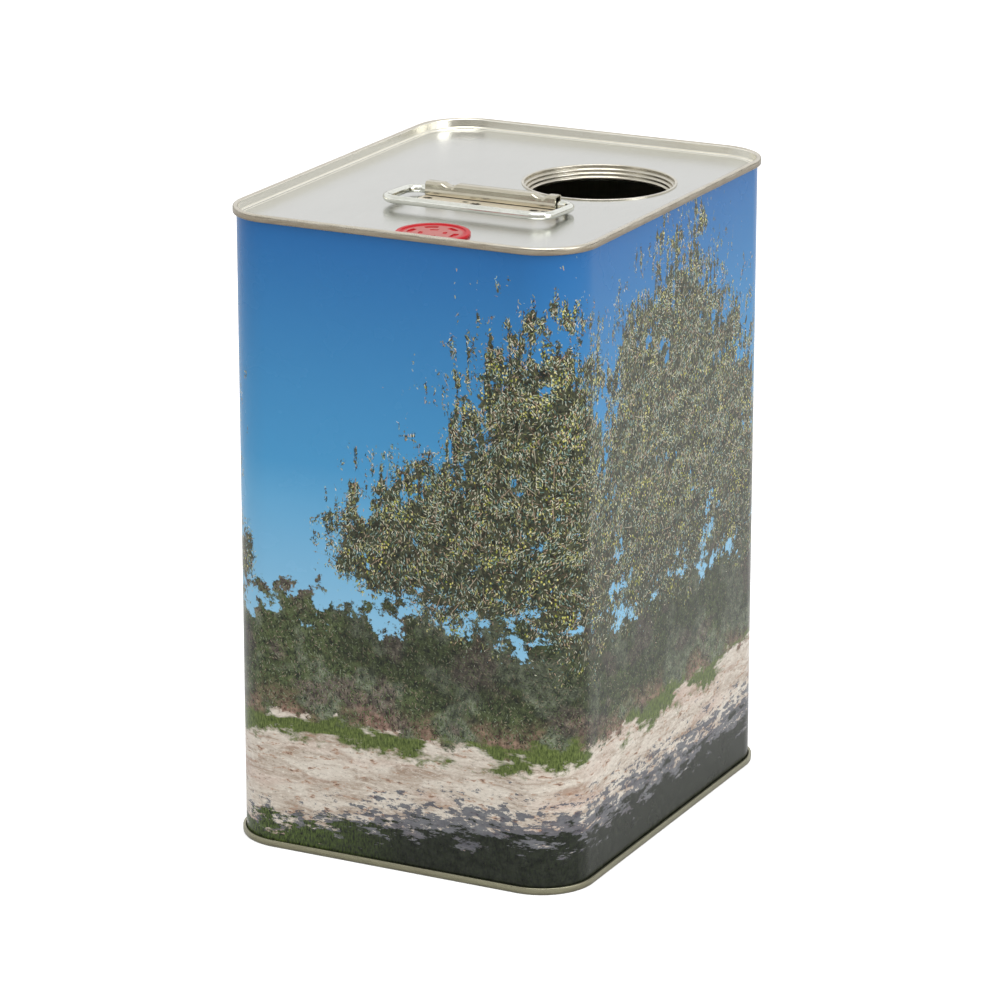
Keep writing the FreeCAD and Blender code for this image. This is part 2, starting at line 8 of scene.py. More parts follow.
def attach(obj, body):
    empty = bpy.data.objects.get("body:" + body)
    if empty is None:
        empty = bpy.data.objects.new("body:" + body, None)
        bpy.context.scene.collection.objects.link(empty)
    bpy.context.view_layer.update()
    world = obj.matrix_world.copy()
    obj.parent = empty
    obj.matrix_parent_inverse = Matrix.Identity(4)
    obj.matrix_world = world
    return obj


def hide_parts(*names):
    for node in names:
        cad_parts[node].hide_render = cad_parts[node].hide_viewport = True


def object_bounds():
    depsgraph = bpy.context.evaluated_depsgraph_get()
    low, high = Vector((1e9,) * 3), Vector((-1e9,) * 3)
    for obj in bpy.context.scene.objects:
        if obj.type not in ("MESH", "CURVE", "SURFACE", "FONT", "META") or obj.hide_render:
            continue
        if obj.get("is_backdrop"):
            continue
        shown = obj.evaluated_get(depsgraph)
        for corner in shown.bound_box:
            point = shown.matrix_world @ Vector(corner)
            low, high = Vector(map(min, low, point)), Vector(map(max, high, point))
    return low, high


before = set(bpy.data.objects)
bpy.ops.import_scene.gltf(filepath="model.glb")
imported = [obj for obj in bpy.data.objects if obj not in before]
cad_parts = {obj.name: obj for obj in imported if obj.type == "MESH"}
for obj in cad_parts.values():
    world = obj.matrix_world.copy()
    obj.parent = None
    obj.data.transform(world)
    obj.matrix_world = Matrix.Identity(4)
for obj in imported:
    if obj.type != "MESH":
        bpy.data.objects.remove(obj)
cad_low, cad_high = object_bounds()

scene = bpy.context.scene
scene.view_settings.view_transform = "Standard"


# ==== Camera ===============================================================================
# A long lens about two metres away. It stands a little above the tin and looks at its
# right-hand front corner.
AIM = Vector((-0.00104, -0.00052, 0.14339))
TURN = math.radians(26.83)
LIFT = math.radians(17.17)
DISTANCE = 2.1177

def placed(name, data):
    """A new object in the scene."""
    thing = bpy.data.objects.new(name, data)
    scene.collection.objects.link(thing)
    return thing


lens = bpy.data.cameras.new("camera")
lens.lens = 165.91
lens.sensor_width = 36.0
lens.clip_start = 0.05
lens.clip_end = 60.0
camera = placed("camera", lens)
back = Vector((math.sin(TURN) * math.cos(LIFT), -math.cos(TURN) * math.cos(LIFT), math.sin(LIFT)))
camera.location = AIM + back * DISTANCE
camera.rotation_mode = "QUATERNION"
camera.rotation_quaternion = (-back).to_track_quat("-Z", "Y")
scene.camera = camera


# ==== Floor and light ======================================================================
# A white card on the floor that runs out of sight, an even white room round it, and two
# soft boxes, one above the tin and one to its right. Three grey cards give the metal
# something to mirror.
def new_material(name):
    """A material with an empty node tree and its output."""
    material = bpy.data.materials.new(name)
    material.use_nodes = True
    tree = material.node_tree
    tree.nodes.clear()
    return material, tree, tree.nodes.new("ShaderNodeOutputMaterial")


def feed(tree, socket, value):
    """Links a socket, or a node's first output, to a socket, or else sets its value."""
    if isinstance(value, bpy.types.Node):
        value = value.outputs[0]
    if isinstance(value, bpy.types.NodeSocket):
        tree.links.new(value, socket)
    elif isinstance(value, (tuple, list)) and len(value) == 3 and socket.type == "RGBA":
        socket.default_value = (*value, 1.0)
    else:
        socket.default_value = value


def add(tree, kind, inputs=(), **settings):
    """A node with its settings; inputs says what feeds each of its sockets, by name or number."""
    node = tree.nodes.new(kind)
    for key, value in settings.items():
        setattr(node, key, value)
    for key, value in dict(inputs).items():
        feed(tree, node.inputs[key], value)
    return node


def square(half, z):
    """The corners of a level square over the middle of the floor."""
    return [(-half, -half, z), (half, -half, z), (half, half, z), (-half, half, z)]


FLOOR_WHITE = (0.93, 0.93, 0.93)
FLOOR_GLOW = 0.45           # seen by the camera alone, so that the floor's edge doesn't show

floor_mesh = bpy.data.meshes.new("floor")
floor_mesh.from_pydata(square(12.0, 0.0), [], [(0, 1, 2, 3)])
floor = placed("floor", floor_mesh)
card, tree, out = new_material("floor card")
matt = add(tree, "ShaderNodeBsdfDiffuse", {"Color": FLOOR_WHITE})
seen = add(tree, "ShaderNodeLightPath").outputs["Is Camera Ray"]
strength = add(tree, "ShaderNodeMath", {0: seen, 1: FLOOR_GLOW}, operation="MULTIPLY")
glow = add(tree, "ShaderNodeEmission", {"Strength": strength})
both = add(tree, "ShaderNodeAddShader", {0: matt, 1: glow})
feed(tree, out.inputs[0], both)
floor_mesh.materials.append(card)
floor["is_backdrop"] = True


def grey_card(name, corners, faces, color):
    """A card that only bright metal mirrors: it throws no light and no shadow."""
    mesh = bpy.data.meshes.new(name)
    mesh.from_pydata(corners, [], faces)
    material, tree, out = new_material(name)
    glow = add(tree, "ShaderNodeEmission", {"Color": color})
    feed(tree, out.inputs[0], glow)
    mesh.materials.append(material)
    card = placed(name, mesh)
    for kind in ("camera", "diffuse", "transmission", "shadow", "volume_scatter"):
        setattr(card, "visible_" + kind, False)
    card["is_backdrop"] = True


def standing_card(name, degrees, far, high, color):
    """A grey card that stands on the floor, bent to these angles from the tin's front."""
    line = [(math.sin(math.radians(d)) * far, -math.cos(math.radians(d)) * far) for d in degrees]
    count = len(line)
    corners = [(x, y, 0.0) for x, y in line] + [(x, y, high) for x, y in line]
    faces = [(i, i + 1, i + 1 + count, i + count) for i in range(count - 1)]
    grey_card(name, corners, faces, color)


standing_card("low grey card all round", range(0, 361, 10), 5.0, 0.75, (0.16, 0.15, 0.13))
grey_card("grey ceiling", square(4.0, 3.6), [(0, 1, 2, 3)], (0.85, 0.85, 0.83))
behind = [math.degrees(TURN) + d for d in range(-48, 49, 8)]
standing_card("dark card behind the camera", behind, 4.6, 2.6, (0.36, 0.35, 0.33))

ROOM_SEEN = 1.0             # white to the camera and in mirrors
ROOM_LIGHT = 0.70           # what the room throws on the tin

room = bpy.data.worlds.new("room")
scene.world = room
room.use_nodes = True
tree = room.node_tree
tree.nodes.clear()
path = add(tree, "ShaderNodeLightPath")
seen = path.outputs["Is Camera Ray"]
for ray in ("Is Glossy Ray", "Is Transmission Ray"):
    seen = add(tree, "ShaderNodeMath", {0: seen, 1: path.outputs[ray]}, operation="MAXIMUM")
level = add(tree, "ShaderNodeMapRange", {"Value": seen, "To Min": ROOM_LIGHT, "To Max": ROOM_SEEN})
white = add(tree, "ShaderNodeBackground", {"Color": (1, 1, 1), "Strength": level})
add(tree, "ShaderNodeOutputWorld", {0: white})

SOFT_BOXES = (              # name, place, width, height, watts
    ("soft box above", (0.3, -0.5, 2.2), 1.6, 1.6, 24),
    ("soft box right", (2.2, -0.3, 1.1), 1.2, 1.6, 14),
)
TIN_MIDDLE = Vector((0, 0, 0.15))
for name, place, width, height, watts in SOFT_BOXES:
    lamp = bpy.data.lights.new(name, "AREA")
    lamp.shape = "RECTANGLE"
    lamp.size = width
    lamp.size_y = height
    lamp.energy = watts
    box = placed(name, lamp)
    box.location = place
    box.rotation_mode = "QUATERNION"
    box.rotation_quaternion = (TIN_MIDDLE - Vector(place)).to_track_quat("-Z", "Y")


# ==== Printed body =========================================================================
# One sheet of tinplate, printed flat, bent round into a rounded rectangle and welded down
# the back wall. Its top and bottom edges turn out as flanges that hook into the two seams.
# Sizes are in millimetres.
HALF_WIDTH = 86.0
HALF_DEPTH = 108.0
HEIGHT = 294.5
CORNER = 24.0
CORNER_STEPS = 20
SHEET = 0.32
LAP = (-54.15, -53.95, -50.05, -49.85)      # across the welded lap, on the back wall
LAP_PROUD = 0.2
BARE = (-58.0, -46.0)                       # unprinted strip over the lap
SEAM_PROUD = 1.7
SEAM_HEIGHT = 3.3
HOOK_GAP = 0.2
HOOK_LENGTH = 2.0
HOOK_OUT = SEAM_PROUD - SHEET - HOOK_GAP
HOOK_IN = HOOK_OUT - SHEET


def outline(offset, rise=0.0):
    """The tin's rounded rectangle, moved outwards, as (x, y, length along the wall).

    It runs anticlockwise seen from above, from the left edge of the lap back to it."""
    x = HALF_WIDTH - CORNER
    y = HALF_DEPTH - CORNER
    radius = CORNER + offset
    points = [(LAP[0], y + radius, 0.0), (BARE[0], y + radius, LAP[0] - BARE[0])]
    length = LAP[0] + x
    for cx, cy, first in ((-x, y, 90), (-x, -y, 180), (x, -y, 270), (x, y, 0)):
        for i in range(CORNER_STEPS + 1):
            angle = math.radians(first + 90 * i / CORNER_STEPS)
            along = length + CORNER * math.pi / 2 * i / CORNER_STEPS
            points.append((cx + radius * math.cos(angle), cy + radius * math.sin(angle), along))
        length += CORNER * math.pi / 2 + (2 * y if first in (90, 270) else 2 * x)
    length -= 2 * x
    for stop, up in ((BARE[1], 0), (LAP[3], 0), (LAP[2], rise), (LAP[1], rise), (LAP[0], 0)):
        points.append((stop, y + radius + up, length + x - stop))
    return points


WRAP = outline(0.0)[-1][2]      # length of the sheet round the tin


def bridge(bm, low, high):
    """Faces between two closed loops of as many points."""
    ahead = zip(low, low[1:] + low[:1], high[1:] + high[:1], high)
    return [bm.faces.new(corners) for corners in ahead]


def sweep(bm, rows, uv=None, bands=(), closed=True):
    """Faces between the outlines of successive rows (offset, height, rise of the lap)."""
    loops = []
    for offset, z, rise in rows:
        loops.append([bm.verts.new((x, y, z)) for x, y, s in outline(offset, rise)[:-1]])
    along = [s for x, y, s in outline(0.0)]
    made = []
    for i in range(len(loops) if closed else len(loops) - 1):
        faces = bridge(bm, loops[i], loops[(i + 1) % len(loops)])
        made += faces
        if uv:
            low, high = bands[i]
            for face, start, stop in zip(faces, along, along[1:]):
                corners = ((start, low), (stop, low), (stop, high), (start, high))
                for loop, (s, v) in zip(face.loops, corners):
                    loop[uv].uv = (s / WRAP, v)
    return loops, made


def finish_piece(name, bm, body, materials, sharp=35):
    """A named object in metres at the origin, smooth but for its sharp edges, on its body."""
    bmesh.ops.recalc_face_normals(bm, faces=bm.faces)
    mesh = bpy.data.meshes.new(name)
    bm.to_mesh(mesh)
    bm.free()
    for material in materials:
        mesh.materials.append(material)
    mesh.transform(Matrix.Scale(0.001, 4))
    mesh.shade_smooth()
    mesh.set_sharp_from_angle(angle=math.radians(sharp))
    piece = placed(name, mesh)
    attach(piece, body)
    return piece


bm = bmesh.new()
uv = bm.loops.layers.uv.new("OFBake")
FLANGE_OUT = SHEET + HOOK_GAP
FLANGE_IN = FLANGE_OUT + SHEET
HOOK_END = FLANGE_OUT + HOOK_LENGTH
rows = [
    (0.0, FLANGE_IN, 0), (0.0, SEAM_HEIGHT, LAP_PROUD),
    (0.0, HEIGHT - SEAM_HEIGHT, LAP_PROUD), (0.0, HEIGHT - FLANGE_IN, 0),
    (HOOK_IN, HEIGHT - FLANGE_IN, 0), (HOOK_IN, HEIGHT - HOOK_END, 0),
    (HOOK_OUT, HEIGHT - HOOK_END, 0), (HOOK_OUT, HEIGHT - FLANGE_OUT, 0),
    (-SHEET, HEIGHT - FLANGE_OUT, 0), (-SHEET, FLANGE_OUT, 0),
    (HOOK_OUT, FLANGE_OUT, 0), (HOOK_OUT, HOOK_END, 0),
    (HOOK_IN, HOOK_END, 0), (HOOK_IN, FLANGE_IN, 0),
]
PRINT_SPAN = 400.0              # height in mm that the whole of the flat sheet's map stands for
INSIDE_BAND = (0.97, 0.79)      # share of that height for the inner face
NARROW_BAND = 0.002             # and for each narrow face of the hooks
bands = []
spare = 0.75
for row, following in zip(rows, rows[1:] + rows[:1]):
    if row[0] == 0.0 and following[0] == 0.0:
        bands.append((row[1] / PRINT_SPAN, following[1] / PRINT_SPAN))
    elif row[0] == following[0] == -SHEET:
        bands.append(INSIDE_BAND)
    else:
        bands.append((spare, spare + NARROW_BAND))
        spare += 1.5 * NARROW_BAND
faces = sweep(bm, rows, uv, bands)[1]
per_row = len(faces) // len(rows)
PRINTED_ROWS = 3                # the outer face; the hooks and the inside stay bare
for i, face in enumerate(faces):
    middle = face.calc_center_median()
    bare_strip = BARE[0] < middle.x < BARE[1] and middle.y > 0
    face.material_index = 1 if i >= PRINTED_ROWS * per_row or bare_strip else 0


# ---- the print: sky, far shrubs, pale ground and olive foliage in plain shapes ----
def calc(tree, operation, *values, clamp=False):
    """One Math node; values are sockets or numbers."""
    return add(tree, "ShaderNodeMath", enumerate(values), operation=operation, use_clamp=clamp)


def vector(tree, operation, *values):
    """One Vector Math node."""
    node = add(tree, "ShaderNodeVectorMath", enumerate(values), operation=operation)
    return node.outputs["Value" if operation == "LENGTH" else "Vector"]


def shifted(tree, place, across, up):
    """A place moved along the sheet."""
    return vector(tree, "ADD", place, (across, up, 0))


def stretched(tree, place, across, up):
    """A place on a grid of another pitch each way, so that what is drawn on it lies long."""
    return vector(tree, "MULTIPLY", place, (across, up, 1.0))


def split(tree, place):
    """The three coordinates of a place."""
    node = add(tree, "ShaderNodeSeparateXYZ", {0: place})
    return node.outputs[0], node.outputs[1], node.outputs[2]


def ramp(tree, value, low, high, to_low=0.0, to_high=1.0):
    """Value between low and high, laid on to_low to to_high and held at both ends."""
    return add(tree, "ShaderNodeMapRange", {
        "Value": value, "From Min": low, "From Max": high, "To Min": to_low, "To Max": to_high,
    })


def noise(tree, place, scale, detail=3.0, roughness=0.5, distortion=0.0):
    """Cloudy marks, about 1 / scale millimetres apart."""
    node = add(tree, "ShaderNodeTexNoise", {
        "Vector": place, "Scale": scale, "Detail": detail, "Roughness": roughness,
        "Distortion": distortion,
    })
    return node.outputs["Fac"]


def mix(tree, share, first, second):
    """Colour between first and second."""
    node = add(tree, "ShaderNodeMix", {"Factor": share, 6: first, 7: second}, data_type="RGBA")
    return node.outputs[2]


def new_group(name, inputs, outputs, kind="ShaderNodeTree"):
    """A node group with sockets (name, kind), its given and its wanted values."""
    group = bpy.data.node_groups.new(name, kind)
    for way, sockets in (("INPUT", inputs), ("OUTPUT", outputs)):
        for label, sort in sockets:
            group.interface.new_socket(name=label, in_out=way, socket_type="NodeSocket" + sort)
    given = group.nodes.new("NodeGroupInput")
    return group, given.outputs, group.nodes.new("NodeGroupOutput").inputs


def use_group(tree, group, **values):
    """Places a group; the keywords are its inputs."""
    return add(tree, "ShaderNodeGroup", values, node_tree=group)


def palette(tree, value, colors):
    """Steps through a list of colours as value goes from 0 to 1."""
    node = add(tree, "ShaderNodeValToRGB", {0: value})
    steps = node.color_ramp
    steps.interpolation = "CONSTANT"
    steps.elements[0].color = (*colors[0], 1.0)
    steps.elements[1].position = 1 - 1 / len(colors)
    steps.elements[1].color = (*colors[-1], 1.0)
    for i in range(1, len(colors) - 1):
        steps.elements.new(i / len(colors)).color = (*colors[i], 1.0)
    return node


# One scattered leaf in each cell of a loose grid: whether a point lies in it, how far across
# it, and two dice that are thrown once for each leaf.
leaf_shapes, given, result = new_group("leaf shapes", (
    ("Place", "Vector"), ("Cell", "Float"), ("Shift", "Vector"), ("Length", "Float"),
    ("Width", "Float"), ("Lean", "Float"), ("Spread", "Float"),
), (("Mask", "Float"), ("Across", "Float"), ("Dice", "Float"), ("Hue", "Float")))
tree = leaf_shapes
moved = vector(tree, "ADD", given["Place"], given["Shift"])
per_mm = calc(tree, "DIVIDE", 1.0, given["Cell"])
cells = add(tree, "ShaderNodeTexVoronoi", {"Vector": moved, "Scale": per_mm}, voronoi_dimensions="2D")
local = vector(tree, "SUBTRACT", moved, cells.outputs["Position"])
dice = add(tree, "ShaderNodeSeparateColor", {0: cells.outputs["Color"]})
swing = calc(tree, "SUBTRACT", dice.outputs[0], 0.5)
angle = calc(tree, "MULTIPLY_ADD", swing, given["Spread"], given["Lean"])
spin = add(tree, "ShaderNodeVectorRotate", {"Vector": local, "Angle": angle}, rotation_type="Z_AXIS")
lengthways, crossways = split(tree, spin)[:2]
reach = calc(tree, "DIVIDE", lengthways, given["Length"])
side = calc(tree, "DIVIDE", crossways, given["Width"])
blade = calc(tree, "SUBTRACT", 1.0, calc(tree, "MULTIPLY", reach, reach))
inside = calc(tree, "SUBTRACT", blade, calc(tree, "ABSOLUTE", side))
feed(tree, result["Mask"], ramp(tree, inside, 0.0, 0.35))
feed(tree, result["Across"], ramp(tree, side, -0.5, 0.5))
feed(tree, result["Dice"], dice.outputs[2])
feed(tree, result["Hue"], dice.outputs[1])


def picked(tree, leaf, chance):
    """The leaves whose first dice fall under the chance."""
    kept = calc(tree, "LESS_THAN", leaf.outputs["Dice"], chance)
    return calc(tree, "MULTIPLY", leaf.outputs["Mask"], kept)


# How deep a point lies in the olive foliage: above 0 inside a crown, 1 in its middle.
# Each part of a crown is (along the wall from the front's middle, height, half width, half
# height); tall and low crowns take turns round the tin, with sky between them.
CROWNS = (
    (74, 200, 48, 64), (38, 158, 54, 46), (98, 148, 50, 48), (2, 152, 38, 28),
    (146, 196, 40, 68), (190, 208, 52, 74), (236, 178, 44, 62), (176, 150, 74, 46),
    (258, 142, 40, 40), (314, 160, 46, 42), (298, 132, 42, 30), (-283, 190, 48, 64),
    (-264, 146, 54, 40), (-206, 152, 42, 36), (-138, 190, 48, 60), (-152, 146, 50, 38),
    (-98, 134, 30, 22), (366, 118, 30, 20),
)
SHOOTS_ABOVE = (125.0, 175.0)   # only what stands higher than this puts out upright shoots
crowns, given, result = new_group("crowns", (("Place", "Vector"),), (("Depth", "Float"),))
tree = crowns
place = given["Place"]
deepest = None
for x, z, half_x, half_z in CROWNS:
    arm = vector(tree, "SUBTRACT", place, (x, z, 0))
    arm = vector(tree, "MULTIPLY", arm, (1 / half_x, 1 / half_z, 0))
    depth = calc(tree, "SUBTRACT", 1.0, vector(tree, "LENGTH", arm))
    deepest = depth if deepest is None else calc(tree, "SMOOTH_MAX", deepest, depth, 0.10)
ragged = noise(tree, place, 0.07, 5.0, 0.68)
shoots = noise(tree, stretched(tree, place, 0.30, 0.055), 1.0, 2.0)
holes = noise(tree, shifted(tree, place, 300, 90), 0.060, 3.0, 0.6)
height = split(tree, place)[1]
shoots = ramp(tree, shoots, 0.40, 0.75, -0.08, 0.44)
shoots = calc(tree, "MULTIPLY", shoots, ramp(tree, height, *SHOOTS_ABOVE))
edge = calc(tree, "ADD", ramp(tree, ragged, 0.3, 0.7, -0.32, 0.26), shoots)
edge = calc(tree, "SUBTRACT", edge, ramp(tree, holes, 0.57, 0.70, 0.0, 0.50))
feed(tree, result["Depth"], calc(tree, "ADD", deepest, edge))

printed, tree, out = new_material("printed and varnished tinplate")
flat = add(tree, "ShaderNodeUVMap", uv_map="OFBake")
place = vector(tree, "MULTIPLY", flat, (WRAP, PRINT_SPAN, 0))
FRONT_MIDDLE = LAP[0] + 2 * (HALF_WIDTH + HALF_DEPTH) - 4 * CORNER + CORNER * math.pi
place = vector(tree, "SUBTRACT", place, (FRONT_MIDDLE, 0, 0))
along, up = split(tree, place)[:2]

# sky: deep blue above, pale towards the horizon
SKY_FADE = (100.0, 288.0)       # heights of the palest and the deepest blue
SKY_LOW = (0.27, 0.52, 0.70)
SKY_MIDDLE = (0.070, 0.31, 0.56)
SKY_HIGH = (0.018, 0.135, 0.37)
fade = ramp(tree, up, *SKY_FADE)
color = mix(tree, ramp(tree, fade, 0.0, 0.45), SKY_LOW, SKY_MIDDLE)
color = mix(tree, ramp(tree, fade, 0.35, 1.0), color, SKY_HIGH)

# ground: pale sand with long brown streaks, small stones and a little rose
SAND_PALE = (0.64, 0.58, 0.50)
SAND_BROWN = (0.33, 0.245, 0.18)
SAND_ROSE = (0.50, 0.31, 0.25)
GRIT_DARK = (0.13, 0.10, 0.075)
GRIT_LIGHT = (0.86, 0.82, 0.74)
STONE = (0.40, 0.235, 0.150)
STONE_SHADE = (0.110, 0.070, 0.050)
GROUND_EDGE = (58.0, 71.0)      # lowest and highest line of the ground under the shrubs
flow = stretched(tree, place, 0.35, 1.7)
streak = noise(tree, flow, 0.10, 8.0, 0.66, 0.7)
sand = mix(tree, ramp(tree, streak, 0.44, 0.66), SAND_PALE, SAND_BROWN)
rose = noise(tree, flow, 0.045, 3.0)
sand = mix(tree, ramp(tree, rose, 0.52, 0.72, 0.0, 0.5), sand, SAND_ROSE)
grit = noise(tree, stretched(tree, place, 0.7, 1.6), 0.55, 6.0, 0.74)
sand = mix(tree, ramp(tree, grit, 0.55, 0.68, 0.0, 0.8), sand, GRIT_DARK)
sand = mix(tree, ramp(tree, grit, 0.46, 0.30, 0.0, 0.8), sand, GRIT_LIGHT)
stones = noise(tree, stretched(tree, place, 0.42, 1.25), 0.30, 5.0, 0.66)
sand = mix(tree, ramp(tree, stones, 0.57, 0.63, 0.0, 0.75), sand, STONE)
sand = mix(tree, ramp(tree, stones, 0.635, 0.67, 0.0, 0.85), sand, STONE_SHADE)
wander = noise(tree, vector(tree, "MULTIPLY", place, (1.0, 0.0, 0.0)), 0.02, 4.0, 0.6)
edge = ramp(tree, wander, 0.3, 0.7, *GROUND_EDGE)
broken = noise(tree, stretched(tree, place, 0.8, 1.2), 0.16, 6.0, 0.7)
edge = calc(tree, "ADD", edge, ramp(tree, broken, 0.3, 0.7, -5.0, 5.0))
below = calc(tree, "SUBTRACT", edge, up)

# shrubs: a dark green band over the ground, with a broken top and bare twigs at its foot
SHRUB_TOP = (98.0, 144.0)       # lowest and highest top of the shrubs
CROWN_SHADOW = 42.0             # how far below the crowns their shadow falls on the shrubs
SHRUB_KINDS = (                 # in the hollows, in the light
    ((0.011, 0.015, 0.009), (0.120, 0.150, 0.060)),
    ((0.045, 0.055, 0.035), (0.270, 0.300, 0.210)),
    ((0.030, 0.022, 0.020), (0.230, 0.180, 0.150)),
)
BARE_TWIGS = ((0.070, 0.036, 0.026), (0.42, 0.26, 0.20))
SHRUB_HOLLOW = (0.008, 0.010, 0.008)
SHRUB_SHADE = (0.010, 0.012, 0.008)
crown = noise(tree, place, 0.05, 7.0, 0.68)
top_line = ramp(tree, crown, 0.3, 0.7, *SHRUB_TOP)
shrub_in = ramp(tree, calc(tree, "SUBTRACT", top_line, up), -1.0, 1.5)
tuft = noise(tree, place, 0.24, 7.0, 0.75)
tuft_lit = ramp(tree, tuft, 0.38, 0.64)
green_bush, grey_bush, dry_bush = [mix(tree, tuft_lit, *kind) for kind in SHRUB_KINDS]
clump = noise(tree, place, 0.045, 2.0)
dry = noise(tree, shifted(tree, place, 140, 60), 0.040, 2.0)
shrub = mix(tree, ramp(tree, clump, 0.49, 0.56, 0.0, 0.85), green_bush, grey_bush)
shrub = mix(tree, ramp(tree, dry, 0.55, 0.62, 0.0, 0.8), shrub, dry_bush)
sprigs = noise(tree, place, 0.95, 4.0, 0.7)
shrub = mix(tree, ramp(tree, sprigs, 0.50, 0.34, 0.0, 0.85), shrub, SHRUB_HOLLOW)
foot = ramp(tree, below, -15.0, 0.0)
twiggy = mix(tree, ramp(tree, tuft, 0.38, 0.66), *BARE_TWIGS)
shrub = mix(tree, calc(tree, "MULTIPLY", foot, ramp(tree, clump, 0.56, 0.44)), shrub, twiggy)
overhead = use_group(tree, crowns, Place=shifted(tree, place, 0, CROWN_SHADOW))
in_shade = ramp(tree, overhead, 0.0, 0.35, 0.0, 0.50)
shrub = mix(tree, in_shade, shrub, SHRUB_SHADE)
color = mix(tree, shrub_in, color, shrub)
in_light = calc(tree, "MULTIPLY", shrub_in, calc(tree, "SUBTRACT", 1.0, in_shade))
SHRUB_LEAVES = (                # cell, shift, share of leaves, colours
    (1.5, (7, 3, 0), 0.55, (
        (0.012, 0.020, 0.010), (0.045, 0.070, 0.022), (0.090, 0.115, 0.050), (0.060, 0.045, 0.025))),
    (1.3, (31, 17, 0), 0.45, (
        (0.110, 0.135, 0.060), (0.190, 0.220, 0.140), (0.090, 0.135, 0.050), (0.230, 0.190, 0.130))),
)
for cell, shift, share, colors in SHRUB_LEAVES:
    leaf = use_group(tree, leaf_shapes, Place=place, Cell=cell, Shift=shift, Length=cell * 0.7,
                     Width=cell * 0.2, Lean=1.4, Spread=2.6)
    mask = calc(tree, "MULTIPLY", picked(tree, leaf, share), in_light)
    color = mix(tree, mask, color, palette(tree, leaf.outputs["Hue"], colors))
color = mix(tree, ramp(tree, below, -0.8, 0.8), color, sand)

# grass: bright green patches along the shrubs' foot
GRASS = ((0.030, 0.046, 0.009), (0.150, 0.195, 0.050))
patch = noise(tree, stretched(tree, place, 0.6, 1.8), 0.035, 5.0, 0.6)
near_foot = ramp(tree, calc(tree, "ABSOLUTE", calc(tree, "SUBTRACT", below, 4.0)), 7.5, 4.0)
grass = calc(tree, "MULTIPLY", near_foot, ramp(tree, patch, 0.45, 0.50))
blades = noise(tree, stretched(tree, place, 2.4, 0.8), 0.5, 4.0, 0.7)
green = mix(tree, ramp(tree, blades, 0.36, 0.64), *GRASS)
color = mix(tree, grass, color, green)

# shade: blue-grey dapple, then nearly black green along the base
DEEP_SHADE = ((0.003, 0.004, 0.004), (0.026, 0.029, 0.023))
LAWN = (0.100, 0.145, 0.035)
BLUE_SHADE = (0.030, 0.050, 0.085)
reach = ramp(tree, along, -110.0, 60.0, 6.0, 22.0)
dapple = noise(tree, stretched(tree, place, 0.5, 1.6), 0.13, 7.0, 0.72)
dark_line = calc(tree, "ADD", reach, ramp(tree, dapple, 0.3, 0.7, -12.0, 18.0))
dark = ramp(tree, calc(tree, "SUBTRACT", dark_line, up), -1.2, 1.8)
floor_green = mix(tree, ramp(tree, tuft, 0.40, 0.68), *DEEP_SHADE)
lawn = ramp(tree, along, 5.0, -50.0, 0.10, 1.0)
lawn = calc(tree, "MULTIPLY", lawn, ramp(tree, blades, 0.38, 0.62))
floor_green = mix(tree, lawn, floor_green, LAWN)
dapples = noise(tree, stretched(tree, place, 0.8, 1.7), 0.22, 5.0, 0.72)
fringe = calc(tree, "ADD", dark_line, ramp(tree, along, -50.0, 20.0, 3.0, 13.0))
fringe = calc(tree, "ADD", fringe, ramp(tree, dapples, 0.35, 0.65, -11.0, 9.0))
fall = ramp(tree, calc(tree, "SUBTRACT", fringe, up), -0.8, 1.6, 0.0, 0.85)
color = mix(tree, fall, color, mix(tree, 0.92, sand, BLUE_SHADE))
color = mix(tree, dark, color, floor_green)

# olive foliage: a dark inside, then coats of small leaves from dark to silver
CROWN_INSIDE = ((0.009, 0.010, 0.006), (0.085, 0.090, 0.050))
LEAF_SHADE = (0.012, 0.016, 0.010)
LEAF_LENGTH = 0.84              # share of a cell
LEAF_WIDTH = 0.20
depth = use_group(tree, crowns, Place=place)
lights = noise(tree, place, 0.085, 5.0, 0.62)
lower = noise(tree, shifted(tree, place, 2.5, -4.5), 0.085, 5.0, 0.62)
lit = ramp(tree, calc(tree, "SUBTRACT", lower, lights), -0.10, 0.10)
lit = calc(tree, "SUBTRACT", lit, ramp(tree, up, 165.0, 115.0, 0.0, 0.55), clamp=True)
inner = mix(tree, ramp(tree, tuft, 0.40, 0.66), *CROWN_INSIDE)
broken = calc(tree, "ADD", depth, ramp(tree, tuft, 0.35, 0.65, -0.24, 0.24))
color = mix(tree, ramp(tree, broken, 0.16, 0.22), color, inner)
LEAVES = (                      # cell, shift, share of leaves, how far out they reach, colours
    (1.6, (0, 0, 0), 1.00, 0.04, (
        (0.012, 0.014, 0.008), (0.030, 0.042, 0.022), (0.045, 0.028, 0.017),
        (0.020, 0.045, 0.036), (0.070, 0.078, 0.030))),
    (1.4, (13, 29, 0), 0.90, 0.08, (
        (0.085, 0.105, 0.060), (0.060, 0.120, 0.095), (0.125, 0.130, 0.050),
        (0.110, 0.065, 0.038), (0.150, 0.165, 0.090))),
    (1.5, (41, 5, 0), 0.66, 0.12, (
        (0.210, 0.245, 0.160), (0.150, 0.260, 0.215), (0.270, 0.280, 0.095),
        (0.255, 0.205, 0.145), (0.330, 0.360, 0.270))),
    (1.3, (23, 53, 0), 0.54, 0.14, (
        (0.450, 0.470, 0.340), (0.330, 0.470, 0.440), (0.520, 0.500, 0.200),
        (0.740, 0.710, 0.540), (0.500, 0.350, 0.240))),
)
